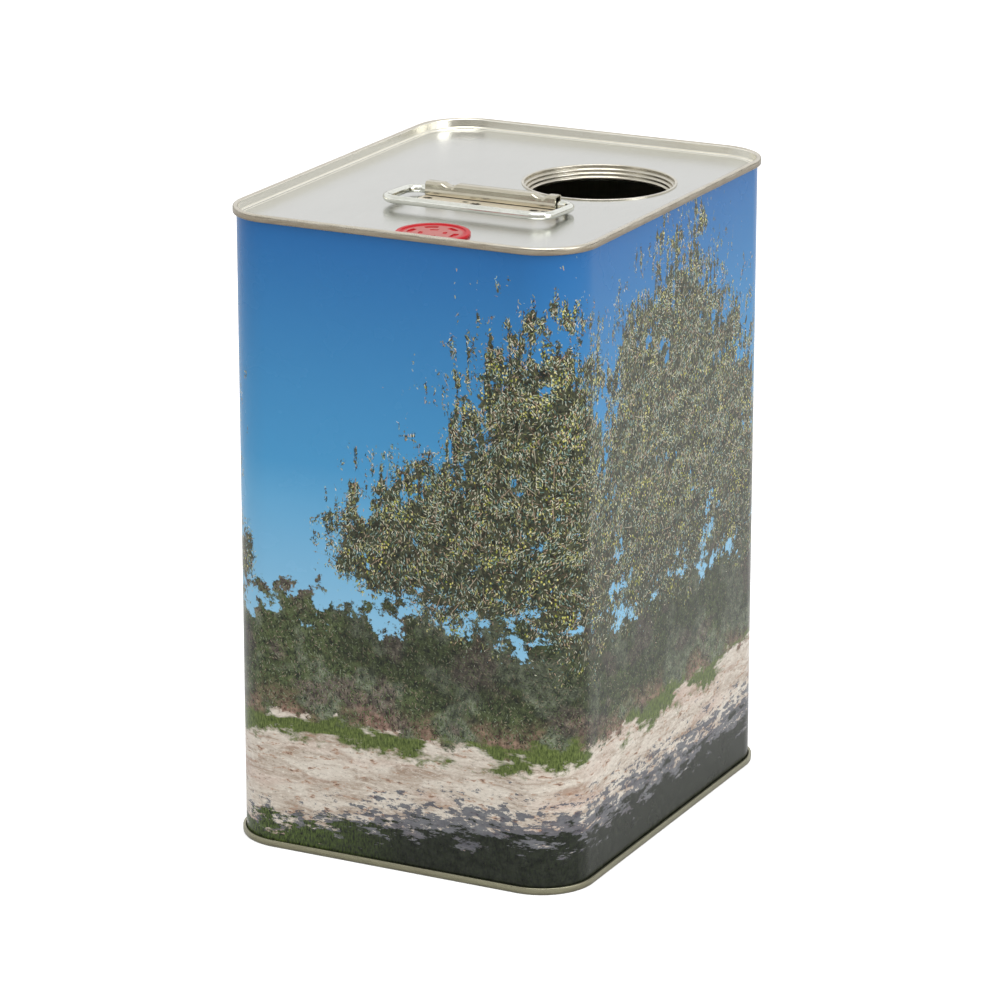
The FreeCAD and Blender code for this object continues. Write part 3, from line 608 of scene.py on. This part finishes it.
for cell, shift, share, far, colors in LEAVES:
    lean = noise(tree, vector(tree, "ADD", place, shift), 0.035, 1.0)
    lean = ramp(tree, lean, 0.3, 0.7, 0.3, 2.8)
    leaf = use_group(tree, leaf_shapes, Place=place, Cell=cell, Shift=shift, Lean=lean, Spread=2.0,
                     Length=cell * LEAF_LENGTH, Width=cell * LEAF_WIDTH)
    odds = ramp(tree, lit, 0.0, 1.0, 0.45 * share, 1.25 * share)
    chance = calc(tree, "MULTIPLY", ramp(tree, depth, -far, 0.25), odds)
    tone = calc(tree, "ADD", calc(tree, "MULTIPLY", lit, 0.5), leaf.outputs["Across"])
    tint = palette(tree, leaf.outputs["Hue"], colors)
    tint = mix(tree, ramp(tree, tone, 0.1, 0.9, 0.25, 1.0), LEAF_SHADE, tint)
    color = mix(tree, picked(tree, leaf, chance), color, tint)

# bare twigs in the crowns, then clusters of olives
TWIGS = ((0.10, 0.070, 0.045), (0.30, 0.22, 0.15), (0.020, 0.015, 0.010), (0.36, 0.32, 0.24))
OLIVES = ((0.30, 0.30, 0.035), (0.52, 0.49, 0.11), (0.66, 0.60, 0.24), (0.20, 0.24, 0.030))
in_crown = ramp(tree, depth, -0.10, 0.10)
twig = use_group(tree, leaf_shapes, Place=place, Cell=8.0, Shift=(71, 19, 0), Length=6.5, Width=0.22,
                 Lean=1.3, Spread=2.6)
bare_twig = calc(tree, "MULTIPLY", picked(tree, twig, 0.55), in_crown)
color = mix(tree, bare_twig, color, palette(tree, twig.outputs["Hue"], TWIGS))
olive = use_group(tree, leaf_shapes, Place=place, Cell=1.7, Shift=(11, 71, 0), Length=0.62, Width=0.50,
                  Lean=1.5, Spread=0.8)
bunch = noise(tree, shifted(tree, place, 50, 130), 0.075, 3.0)
ripe = picked(tree, olive, ramp(tree, bunch, 0.53, 0.68, 0.0, 0.70))
ripe = calc(tree, "MULTIPLY", ripe, in_crown)
color = mix(tree, ripe, color, palette(tree, olive.outputs["Hue"], OLIVES))

orange_peel = ramp(tree, noise(tree, place, 0.05, 3.0), 0.3, 0.7, 0.23, 0.29)
varnish = add(tree, "ShaderNodeBsdfPrincipled", {
    "Base Color": color, "Roughness": orange_peel, "Specular IOR Level": 0.20,
})
feed(tree, out.inputs[0], varnish)

# ---- rolled metal: stains, fine lines along the rolling direction, and a faint relief ----
rolled_sheet, given, result = new_group("rolled sheet", (
    ("Place", "Vector"), ("Color", "Color"), ("Stain", "Color"), ("Grain", "Vector"),
    ("Smooth", "Float"), ("Rough", "Float"), ("Height", "Float"),
), (("Color", "Color"), ("Roughness", "Float"), ("Normal", "Vector")))
tree = rolled_sheet
place = given["Place"]
lines = noise(tree, vector(tree, "MULTIPLY", place, given["Grain"]), 1.0, 4.0, 0.6)
cloud = noise(tree, place, 0.035, 4.0, 0.6)
speck = noise(tree, place, 1.1, 5.0, 0.7)
stained = ramp(tree, cloud, 0.42, 0.72, 0.0, 0.35)
stained = calc(tree, "ADD", stained, ramp(tree, lines, 0.45, 0.75, 0.0, 0.45))
stained = calc(tree, "ADD", stained, ramp(tree, speck, 0.58, 0.78, 0.0, 0.40))
feed(tree, result["Color"], mix(tree, stained, given["Color"], given["Stain"]))
dull = calc(tree, "ADD", ramp(tree, lines, 0.3, 0.7, 0.0, 0.6), ramp(tree, speck, 0.35, 0.75, 0.0, 0.4))
dull = ramp(tree, dull, 0.0, 1.0, given["Smooth"], given["Rough"])
feed(tree, result["Roughness"], dull)
marks = calc(tree, "ADD", lines, calc(tree, "MULTIPLY", speck, 0.6))
relief = add(tree, "ShaderNodeBump", {"Height": marks, "Distance": given["Height"]})
feed(tree, result["Normal"], relief)


def on_piece(tree):
    """A point of the piece, in millimetres; marks that read it lie still on the piece."""
    spot = add(tree, "ShaderNodeTexCoord")
    return vector(tree, "MULTIPLY", spot.outputs["Object"], (1000, 1000, 1000))


def metal_shader(tree, out, color, roughness, normal):
    """Bare metal."""
    shader = add(tree, "ShaderNodeBsdfPrincipled", {
        "Base Color": color, "Roughness": roughness, "Normal": normal, "Metallic": 1.0,
    })
    feed(tree, out.inputs[0], shader)


def sheet_metal(name, color, stain, grain, smooth, rough, height=0.00003):
    """A metal with the marks of rolling; height is how deep they are, in metres."""
    material, tree, out = new_material(name)
    sheet = use_group(tree, rolled_sheet, Place=on_piece(tree), Color=color, Stain=stain, Grain=grain,
                      Smooth=smooth, Rough=rough, Height=height)
    metal_shader(tree, out, *sheet.outputs)
    return material


bare = sheet_metal("bare tinplate of the wall", (0.58, 0.56, 0.48), (0.40, 0.37, 0.30),
                   (2.0, 2.0, 0.08), 0.28, 0.42)
body_sheet = finish_piece("printed_body", bm, "tin", (printed, bare))
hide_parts("wall")


# ==== Top and base =========================================================================
# Each end is stamped from tinplate: a flat panel let in below the rim, whose edge goes up
# inside the wall, over it and down outside, and is rolled with it into a double seam.
TOP_RECESS = 5.2
BASE_RECESS = 4.2
FIT = 0.06                      # clearance between the end and the body
CHUCK_OUT = -SHEET - FIT        # the recess's upright wall, inside the body
CHUCK_IN = CHUCK_OUT - SHEET
COVER_OUT = HOOK_IN - HOOK_GAP  # the edge that hooks up under the body's flange
COVER_IN = COVER_OUT - SHEET
COVER_END = FLANGE_IN + HOOK_GAP
PANEL_EDGE = -5.0               # where the flat of the panel starts
STEP_WIDE = 0.9                 # small step at the foot of the recess
STEP_HIGH = 1.1
SEAM_FROM = CHUCK_IN + 0.12     # from here outwards the seam's tinplate, with its painted highlight and shade
RECESS_FROM = CHUCK_IN - STEP_WIDE - 0.35
MOUTH = Vector((32.4, 33.2))
CAP = Vector((10.5, -87.9))
HOLES = ((MOUTH, 34.9, 96), (CAP, 12.6, 48))        # middle, radius, sides


def rounded(corners, steps=5):
    """A line through corners (a, b, radius), each turned into an arc of that radius."""
    points = []
    for i, (a, b, radius) in enumerate(corners):
        here = Vector((a, b))
        if not radius or i in (0, len(corners) - 1):
            points.append((a, b))
            continue
        before = (Vector(corners[i - 1][:2]) - here).normalized()
        after = (Vector(corners[i + 1][:2]) - here).normalized()
        half = before.angle(after) / 2
        reach = radius / math.tan(half)
        centre = here + (before + after).normalized() * (radius / math.sin(half))
        start = here + before * reach - centre
        turn = (here + after * reach - centre).angle_signed(start)
        for k in range(steps + 1):
            arm = Matrix.Rotation(turn * k / steps, 2) @ start
            points.append(tuple(centre + arm))
    return points


def ring(bm, centre, radius, z, count):
    """A closed loop of edges on a circle."""
    verts = []
    for i in range(count):
        angle = 2 * math.pi * i / count
        x = centre.x + radius * math.cos(angle)
        verts.append(bm.verts.new((x, centre.y + radius * math.sin(angle), z)))
    return verts


def edges_of(bm, verts):
    """The edges of a closed loop, made where they aren't there yet."""
    pairs = zip(verts, verts[1:] + verts[:1])
    return [bm.edges.get(pair) or bm.edges.new(pair) for pair in pairs]


def from_wall(x, y):
    """How far a point lies outside the wall's face, below 0 inside it."""
    past_x = abs(x) - HALF_WIDTH
    past_y = abs(y) - HALF_DEPTH
    past_corner = math.hypot(max(past_x + CORNER, 0), max(past_y + CORNER, 0)) - CORNER
    return max(past_x, past_y, past_corner)


PANEL_METAL, SEAM_METAL, RECESS_METAL = 0, 1, 2


def stamped_end(recess, at_top, holes):
    """A top or base with its seam, from (distance past the wall, depth below the rim, bend)."""
    bm = bmesh.new()
    profile = rounded([
        (PANEL_EDGE, recess, 0), (CHUCK_IN - STEP_WIDE, recess, 0.3),
        (CHUCK_IN - STEP_WIDE, recess - STEP_HIGH, 0.7), (CHUCK_IN, recess - STEP_HIGH, 0.2),
        (CHUCK_IN, 0, 0.9), (SEAM_PROUD, 0, 0.9),
        (SEAM_PROUD, SEAM_HEIGHT, 0.45), (COVER_IN, SEAM_HEIGHT, 0.3), (COVER_IN, COVER_END, 0),
        (COVER_OUT, COVER_END, 0), (COVER_OUT, SEAM_HEIGHT - SHEET, 0),
        (SEAM_PROUD - SHEET, SEAM_HEIGHT - SHEET, 0), (SEAM_PROUD - SHEET, SHEET, 0.5),
        (CHUCK_OUT, SHEET, 0.5), (CHUCK_OUT, recess + SHEET, 1.2), (PANEL_EDGE, recess + SHEET, 0),
    ])
    rows = [(a, HEIGHT - b if at_top else b, 0) for a, b in profile]
    loops = sweep(bm, rows, closed=False)[0]
    levels = (loops[0], loops[-1])
    edges = [edges_of(bm, loop) for loop in levels]
    for centre, radius, count in holes:
        circles = [ring(bm, centre, radius, loop[0].co.z, count) for loop in levels]
        for side in (0, 1):
            edges[side] += edges_of(bm, circles[side])
        bridge(bm, *circles)
    for side in (0, 1):
        bmesh.ops.triangle_fill(bm, use_beauty=True, use_dissolve=False, edges=edges[side])
    for face in bm.faces:
        middle = face.calc_center_median()
        past = from_wall(middle.x, middle.y)
        deep = abs(middle.z - (HEIGHT if at_top else 0.0))
        if past > SEAM_FROM:
            face.material_index = SEAM_METAL
        elif past > RECESS_FROM and deep <= recess:
            face.material_index = RECESS_METAL
        else:
            face.material_index = PANEL_METAL
    return bm


tinplate = sheet_metal("satin tinplate", (0.585, 0.588, 0.565), (0.555, 0.558, 0.535),
                       (1.2, 0.05, 1.2), 0.20, 0.24, 0.000003)
# The recess wall takes a paler copy of the panel's tinplate: a painted sheen.
recess_sheen = sheet_metal("recess wall tinplate, paler for a painted sheen", (0.88, 0.86, 0.78), (0.83, 0.81, 0.72),
                     (0.02, 0.02, 1.2), 0.22, 0.27, 0.000005)
SEAM_STAIN = (0.20, 0.16, 0.12)


def seam_metal(name, crest, foot, colors):
    """Tinplate of a seam: a painted highlight on its crest, fading to painted shade towards its foot."""
    material, tree, out = new_material(name)
    place = on_piece(tree)
    patchy = noise(tree, vector(tree, "MULTIPLY", place, (0.10, 0.10, 1.2)), 1.0, 4.0, 0.65)
    # painted highlight and shade: lighter at the crest, darker down to the foot, with a patchy edge
    down = ramp(tree, split(tree, place)[2], crest, foot)
    down = calc(tree, "ADD", down, ramp(tree, patchy, 0.3, 0.7, -0.20, 0.20))
    tint = mix(tree, ramp(tree, down, 0.05, 0.45), colors[0], colors[1])
    tint = mix(tree, ramp(tree, down, 0.45, 0.95), tint, colors[2])
    stain = mix(tree, 0.35, tint, SEAM_STAIN)
    sheet = use_group(tree, rolled_sheet, Place=place, Color=tint, Stain=stain, Grain=(0.05, 0.05, 3.0),
                      Smooth=0.22, Rough=0.38, Height=0.00003)
    metal_shader(tree, out, *sheet.outputs)
    return material


top_seam = seam_metal("top seam tinplate with painted highlight and shade", HEIGHT, HEIGHT - SEAM_HEIGHT,
                      ((0.66, 0.62, 0.53), (0.38, 0.33, 0.25), (0.21, 0.18, 0.14)))
base_seam = seam_metal("base seam tinplate with painted highlight and shade", SEAM_HEIGHT, 0.0,
                       ((0.33, 0.32, 0.225), (0.27, 0.26, 0.175), (0.13, 0.125, 0.09)))
top_bm = stamped_end(TOP_RECESS, True, HOLES)
top = finish_piece("top_with_seam", top_bm, "tin", (tinplate, top_seam, recess_sheen))
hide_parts("top_end")
base_bm = stamped_end(BASE_RECESS, False, ())
base = finish_piece("base_with_seam", base_bm, "tin", (tinplate, base_seam, recess_sheen))
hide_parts("base_end")


# ==== Filling mouth ========================================================================
# A ring of thicker tinplate let into the top and crimped under it. It goes down in three
# rolled steps that a lid can snap into, and ends in a small curl.
PANEL_TOP = HEIGHT - TOP_RECESS
MOUTH_RADIUS = 34.1
STEPS = 3
STEP_IN = 0.93
STEP_DOWN = 1.65
FIRST_STEP = 0.45               # how much less the first step goes down
CURL_DEEP = 1.25
CURL_WIDE = 1.6
CURL_BACK = 2.4
LIP_RADIUS = 35.4
LIP_HEIGHT = 0.6
NECK_RADIUS = 34.8
CRIMP = 0.6
MOUTH_SIDES = 120

corners = [                     # radius, height over the panel, bend
    (NECK_RADIUS, 0, 0), (LIP_RADIUS, 0, 0), (LIP_RADIUS, LIP_HEIGHT, 0.3),
    (MOUTH_RADIUS, LIP_HEIGHT, 0.45),
]
for i in range(1, STEPS + 1):
    low = -STEP_DOWN * i + FIRST_STEP
    corners.append((MOUTH_RADIUS - STEP_IN * (i - 1), low, 0.2))
    corners.append((MOUTH_RADIUS - STEP_IN * i, low, 0.62))
narrow = MOUTH_RADIUS - STEP_IN * STEPS
bottom = -STEP_DOWN * STEPS - CURL_DEEP
low = -SHEET - CRIMP
corners += [
    (narrow, bottom, 0.35), (narrow + CURL_WIDE, bottom, 0.35), (NECK_RADIUS, bottom + CURL_BACK, 0.3),
    (NECK_RADIUS, low, 0), (NECK_RADIUS + CRIMP, low, 0.2), (NECK_RADIUS + CRIMP, -SHEET, 0),
    (NECK_RADIUS, -SHEET, 0),
]


def new_maker(name, inputs):
    """A geometry node tree that makes a piece."""
    return new_group(name, inputs, (("Piece", "Geometry"),), "GeometryNodeTree")


def close_maker(tree, shape, given, result):
    """Ends a tree: the piece is moved to its place, made real and given its material."""
    moved = add(tree, "GeometryNodeTransform", {
        "Geometry": shape, "Translation": given["Place"], "Rotation": given["Turn"],
    })
    real = add(tree, "GeometryNodeRealizeInstances", {0: moved})
    coat = add(tree, "GeometryNodeSetMaterial", {"Geometry": real, "Material": given["Finish"]})
    feed(tree, result[0], coat)


def made_by(group, start, values):
    """The plain mesh that a node tree makes from a starting mesh."""
    blank = placed("blank", start)
    maker = blank.modifiers.new("maker", "NODES")
    maker.node_group = group
    for item in group.interface.items_tree:
        if item.in_out == "INPUT" and item.name in values:
            maker[item.identifier] = values[item.name]
    graph = bpy.context.evaluated_depsgraph_get()
    mesh = bpy.data.meshes.new_from_object(blank.evaluated_get(graph))
    blank.modifiers.remove(maker)
    bpy.data.objects.remove(blank)
    shape = bmesh.new()
    shape.from_mesh(mesh)
    bpy.data.meshes.remove(mesh)
    return shape


ring_maker, given, result = new_maker("rolled ring", (
    ("Profile", "Geometry"), ("Radius", "Float"), ("Sides", "Int"),
    ("Place", "Vector"), ("Turn", "Rotation"), ("Finish", "Material"),
))
tree = ring_maker
rolled_edge = add(tree, "GeometryNodeMeshToCurve", {0: given["Profile"]})
circle = add(tree, "GeometryNodeCurvePrimitiveCircle", {
    "Radius": given["Radius"], "Resolution": given["Sides"],
})
rolling = add(tree, "GeometryNodeCurveToMesh", {
    "Curve": circle, "Profile Curve": rolled_edge,
})
close_maker(tree, rolling, given, result)

rolled = sheet_metal("rolled tinplate of the mouth", (0.66, 0.63, 0.55), (0.44, 0.40, 0.32),
                     (0.3, 0.3, 4.0), 0.16, 0.28)
profile = bpy.data.meshes.new("profile")
points = [(radius - MOUTH_RADIUS, -height, 0) for radius, height in rounded(corners, 4)]
profile.from_pydata(points, [(i, (i + 1) % len(points)) for i in range(len(points))], [])
bm = made_by(ring_maker, profile, {
    "Radius": MOUTH_RADIUS, "Sides": MOUTH_SIDES, "Place": (MOUTH.x, MOUTH.y, PANEL_TOP),
    "Finish": rolled,
})
mouth = finish_piece("stepped_mouth", bm, "tin", (rolled,), 50)
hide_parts("mouth_ring")


# ==== Spout cap ============================================================================
# A flat red plastic cap with a raised rim, two circles of curved slots in its dished top
# and a hollow plug below that is pressed into the hole near the front edge.
CAP_RADIUS = 16.5
CAP_HEIGHT = 1.4
CAP_DISH = 0.5
CAP_SIDES = 240
PLUG_RADIUS = 12.5
PLUG_WALL = 1.4
PLUG_DEPTH = 4.0
PLUG_ROOF = -0.2
DISH_LEVEL = CAP_HEIGHT - CAP_DISH
SLOT_CIRCLES = (                # inner and outer radius, depth, count, angle, turn, in degrees
    (9.3, 11.7, 0.5, 6, 31, 0),
    (4.6, 6.2, 0.3, 4, 38, 20),
)
SLOT_EDGE = 0.12                # width of a slot's slanting edge


def turned(bm, profile, centre, z, count):
    """A shape turned round an upright axis from a profile (radius, height), axis to axis."""
    loops = []
    for radius, height in profile:
        if radius == 0:
            loops.append([bm.verts.new((centre.x, centre.y, z + height))])
        else:
            loops.append(ring(bm, centre, radius, z + height, count))
    for low, high in zip(loops, loops[1:]):
        if len(low) == len(high):
            bridge(bm, low, high)
            continue
        for j in range(count):
            k = (j + 1) % count
            bm.faces.new((low[0], high[k], high[j]) if len(low) == 1 else (low[j], low[k], high[0]))
    return loops


profile = [(0, DISH_LEVEL)]
for near, far, depth, count, angle, turn in reversed(SLOT_CIRCLES):
    profile += [(r, DISH_LEVEL) for r in (near - SLOT_EDGE, near, far, far + SLOT_EDGE)]
profile += rounded([
    (far + 1.0, DISH_LEVEL, 0), (CAP_RADIUS - 2.2, DISH_LEVEL, 0.25), (CAP_RADIUS - 2.0, CAP_HEIGHT, 0.3),
    (CAP_RADIUS, CAP_HEIGHT, 0.5), (CAP_RADIUS, 0, 0.15), (PLUG_RADIUS, 0, 0),
    (PLUG_RADIUS, -PLUG_DEPTH, 0.4), (PLUG_RADIUS - PLUG_WALL, -PLUG_DEPTH, 0.3),
    (PLUG_RADIUS - PLUG_WALL, PLUG_ROOF, 0.3), (0, PLUG_ROOF, 0),
], 4)
bm = bmesh.new()
loops = turned(bm, profile, CAP, PANEL_TOP, CAP_SIDES)
for near, far, depth, count, angle, turn in SLOT_CIRCLES:
    for loop, (radius, height) in zip(loops, profile):
        if not near - 0.01 < radius < far + 0.01 or height < DISH_LEVEL - 0.01:
            continue
        for i, vert in enumerate(loop):
            across = (360 * i / CAP_SIDES - turn + 180 / count) % (360 / count) - 180 / count
            if abs(across) <= angle / 2:
                vert.co.z -= depth

RIM_RED = (0.47, 0.008, 0.015)
SLOT_SHADE_RED = (0.46, 0.004, 0.012)
DISH_PINK = (0.45, 0.155, 0.135)    # the dish is scuffed paler than the rim
cap_red, tree, out = new_material("moulded red plastic")
local = vector(tree, "SUBTRACT", on_piece(tree), (CAP.x, CAP.y, PANEL_TOP))
height = split(tree, local)[2]
radius = vector(tree, "LENGTH", vector(tree, "MULTIPLY", local, (1, 1, 0)))
cloudy = noise(tree, local, 0.5, 3.0)
middle = calc(tree, "MULTIPLY", ramp(tree, radius, 13.6, 12.6), ramp(tree, cloudy, 0.2, 0.8, 0.6, 1.0))
middle = calc(tree, "MULTIPLY", middle, ramp(tree, height, DISH_LEVEL - 0.2, DISH_LEVEL - 0.02))
# Below the dish the slots turn a darker red: painted shade in the slots.
color = mix(tree, ramp(tree, height, DISH_LEVEL - 0.3, DISH_LEVEL - 0.05), SLOT_SHADE_RED, RIM_RED)
color = mix(tree, middle, color, DISH_PINK)
dimples = add(tree, "ShaderNodeBump", {"Height": noise(tree, local, 3.0, 3.0), "Distance": 0.00004})
plastic = add(tree, "ShaderNodeBsdfPrincipled", {
    "Base Color": color, "Roughness": ramp(tree, cloudy, 0.3, 0.7, 0.30, 0.42),
    "Specular IOR Level": 0.18, "Normal": dimples,
})
feed(tree, out.inputs[0], plastic)
cap = finish_piece("spout_cap_moulded", bm, "tin", (cap_red,), 30)
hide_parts("spout_cap")


# ==== Handle clip ==========================================================================
# A strip of lacquered tinplate folded round the ends of the wire. Its front edge is hemmed,
# two crimps in its back keep the wire in, and spot welds hold its flange on the panel.
CLIP = Vector((6.7, -23.0))
CLIP_LENGTH = 64.8
CLIP_SHEET = 0.75
CLIP_HEIGHT = 6.8
CLIP_SIDE = 3.0
CLIP_FLANGE = 8.5
FLANGE_STEPS = 11
BARREL_WALL = 0.8
HEM = 0.5
HEM_HEIGHT = 2.7
HEM_GAP = 0.22                  # open line between the hem and the flange
CRIMPS = (-CLIP_LENGTH / 2 + 11.7, CLIP_LENGTH / 2 - 7.8)
CRIMP_RADIUS = 5.4
CRIMP_DEPTH = 1.3
CRIMP_FROM = 4.4                # height from which the barrel is pressed in
CRIMP_INSIDE = 0.55             # share of that which its inner face follows
CRIMP_PUSH = 0.35               # and share by which its side moves in
WELDS = (                       # along the clip, across it, size
    (-28.5, -7.6, 1.7), (-4.0, -8.6, 2.0), (-10.0, -7.2, 1.2), (24.5, -8.2, 2.0), (29.5, -7.8, 1.6),
)
WELD_DENT = 0.28
CLIP_STEP = 0.6

inside = CLIP_SIDE - BARREL_WALL
flange_top = [(-CLIP_SIDE - CLIP_FLANGE + 0.75 * i, CLIP_SHEET) for i in range(FLANGE_STEPS)]
section = rounded([
    (-CLIP_SIDE - CLIP_FLANGE, CLIP_SHEET * 0.4, 0), (-CLIP_SIDE - CLIP_FLANGE, 0, 0.1),
    (CLIP_SIDE, 0, 1.0), (CLIP_SIDE, CLIP_HEIGHT, 1.5), (-CLIP_SIDE, CLIP_HEIGHT, 1.3),
    (-CLIP_SIDE, HEM_HEIGHT + 0.9, 0.4), (-CLIP_SIDE - HEM, HEM_HEIGHT, 0.5),
    (-CLIP_SIDE - HEM, CLIP_SHEET + HEM_GAP, 0.35), (-inside, CLIP_SHEET + HEM_GAP, 0.3),
    (-inside, CLIP_HEIGHT - CLIP_SHEET, 0.7), (inside, CLIP_HEIGHT - CLIP_SHEET, 0.7),
    (inside, CLIP_SHEET, 0.4), (-inside, CLIP_SHEET, 0),
], 4) + flange_top[::-1]
roof_limit = CLIP_HEIGHT - CLIP_SHEET
count = round(CLIP_LENGTH / CLIP_STEP)
bm = bmesh.new()
slices = []
for i in range(count + 1):
    x = -CLIP_LENGTH / 2 + CLIP_LENGTH * i / count
    slices.append([])
    for y, z in section:
        bend = 0.0
        for crimp in CRIMPS:
            off = x - crimp
            if abs(off) < CRIMP_RADIUS:
                bend = max(bend, CRIMP_DEPTH - CRIMP_RADIUS + math.sqrt(CRIMP_RADIUS ** 2 - off ** 2))
        outer = z > roof_limit + 0.01 or abs(y) > inside + 0.05
        share = min(max((z - CRIMP_FROM) / (CLIP_HEIGHT - CRIMP_FROM), 0), 1)
        drop = bend * share * (1.0 if outer else CRIMP_INSIDE)
        push = CRIMP_PUSH * bend * share if outer and y < 0 else 0.0
        if z == CLIP_SHEET and y < -CLIP_SIDE - 0.3:
            for weld_x, weld_y, size in WELDS:
                far = math.hypot((x - weld_x) / size, (y - weld_y) / (0.6 * size))
                drop += WELD_DENT * max(0.0, 1 - far * far)
        slices[-1].append(bm.verts.new((CLIP.x + x, CLIP.y + y + push, PANEL_TOP + z - drop)))
for first, second in zip(slices, slices[1:]):
    bridge(bm, first, second)
bm.faces.new(slices[0])
bm.faces.new(reversed(slices[-1]))

LACQUER = (0.60, 0.565, 0.46)
LACQUER_STAIN = (0.40, 0.36, 0.28)
FLANGE_HIGHLIGHT = ((0.86, 0.82, 0.72), (0.74, 0.66, 0.54))      # painted highlight on the flange strip
SCORCHED = (0.045, 0.036, 0.025)
clip_steel, tree, out = new_material("lacquered tinplate of the clip")
place = on_piece(tree)
sheet = use_group(tree, rolled_sheet, Place=place, Color=LACQUER, Stain=LACQUER_STAIN,
                  Grain=(0.08, 1.6, 1.6), Smooth=0.16, Rough=0.28, Height=0.00001)
burnt = None
for x, y, size in WELDS:
    arm = vector(tree, "SUBTRACT", place, (CLIP.x + x, CLIP.y + y, PANEL_TOP + CLIP_SHEET))
    arm = vector(tree, "MULTIPLY", arm, (1 / (1.5 * size), 1 / size, 0.25))
    near = calc(tree, "SUBTRACT", 1.0, vector(tree, "LENGTH", arm))
    burnt = near if burnt is None else calc(tree, "MAXIMUM", burnt, near)
scorch = noise(tree, place, 0.9, 5.0, 0.7)
burnt = calc(tree, "ADD", burnt, ramp(tree, scorch, 0.3, 0.7, -0.45, 0.35))
across, height = split(tree, vector(tree, "SUBTRACT", place, (CLIP.x, CLIP.y, PANEL_TOP)))[1:]
# The flange strip in front of the barrel is painted paler, a painted highlight, and is made rougher.
strip = calc(tree, "MULTIPLY", ramp(tree, height, 1.0, 0.85), ramp(tree, across, -3.4, -3.6))
pale = mix(tree, noise(tree, place, 0.5, 4.0), *FLANGE_HIGHLIGHT)
clip_color = mix(tree, strip, sheet.outputs["Color"], pale)
clip_color = mix(tree, ramp(tree, burnt, 0.0, 0.30), clip_color, SCORCHED)
clip_rough = calc(tree, "ADD", sheet.outputs["Roughness"], calc(tree, "MULTIPLY", strip, 0.30))
metal_shader(tree, out, clip_color, clip_rough, sheet.outputs["Normal"])
clip = finish_piece("folded_clip", bm, "tin", (clip_steel,), 26)
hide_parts("handle_clip")


# ==== Handle wire ==========================================================================
# Zinc-plated steel wire bent into a flat loop. Its two ends turn inside the clip, and at
# rest the front bar lies a little above the cap.
WIRE_RADIUS = 1.85
WIRE_SIDES = 28
LOOP_HALF = 40.9                # from the middle of the loop to its side
LOOP_REACH = 29.5               # from the hinge line to the front bar
FRONT_BEND = 8.0
BACK_BEND = 6.5
LOOP_TILT = math.radians(2.6)
WIRE_END = CLIP_LENGTH / 2 - 8.0
AXIS_HEIGHT = 2.7               # of the hinge line over the panel
BEND_STEPS = 14

wire_maker, given, result = new_maker("bent wire", (
    ("Path", "Geometry"), ("Wire radius", "Float"), ("Sides", "Int"), ("Bend steps", "Int"),
    ("Place", "Vector"), ("Turn", "Rotation"), ("Finish", "Material"),
))
tree = wire_maker
path = add(tree, "GeometryNodeMeshToCurve", {0: given["Path"]})
bend = add(tree, "GeometryNodeInputNamedAttribute", {"Name": "bend"}, data_type="FLOAT")
bent = add(tree, "GeometryNodeFilletCurve", {
    "Curve": path, "Radius": bend, "Count": given["Bend steps"],
}, mode="POLY")
bar = add(tree, "GeometryNodeCurvePrimitiveCircle", {
    "Radius": given["Wire radius"], "Resolution": given["Sides"],
})
drawn = add(tree, "GeometryNodeCurveToMesh", {
    "Curve": bent, "Profile Curve": bar, "Fill Caps": True,
})
close_maker(tree, drawn, given, result)

path_mesh = bpy.data.meshes.new("path")
path_mesh.from_pydata([
    (-WIRE_END, 0, 0), (-LOOP_HALF, 0, 0), (-LOOP_HALF, -LOOP_REACH, 0),
    (LOOP_HALF, -LOOP_REACH, 0), (LOOP_HALF, 0, 0), (WIRE_END, 0, 0),
], [(i, i + 1) for i in range(5)], [])
bends = path_mesh.attributes.new("bend", "FLOAT", "POINT")
for i, radius in enumerate((0, BACK_BEND, FRONT_BEND, FRONT_BEND, BACK_BEND, 0)):
    bends.data[i].value = radius

zinc = sheet_metal("zinc-plated wire", (0.84, 0.85, 0.79), (0.60, 0.61, 0.55),
                   (0.25, 1.0, 1.0), 0.12, 0.22, 0.000015)
bm = made_by(wire_maker, path_mesh, {
    "Wire radius": WIRE_RADIUS, "Sides": WIRE_SIDES, "Bend steps": BEND_STEPS,
    "Place": (CLIP.x, CLIP.y, PANEL_TOP + AXIS_HEIGHT), "Turn": (-LOOP_TILT, 0.0, 0.0), "Finish": zinc,
})
wire = finish_piece("bent_wire", bm, "handle", (zinc,), 50)
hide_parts("handle_wire")

# both boxes, in metres
size = {"cad": [list(cad_low), list(cad_high)], "visual": [list(p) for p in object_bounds()]}
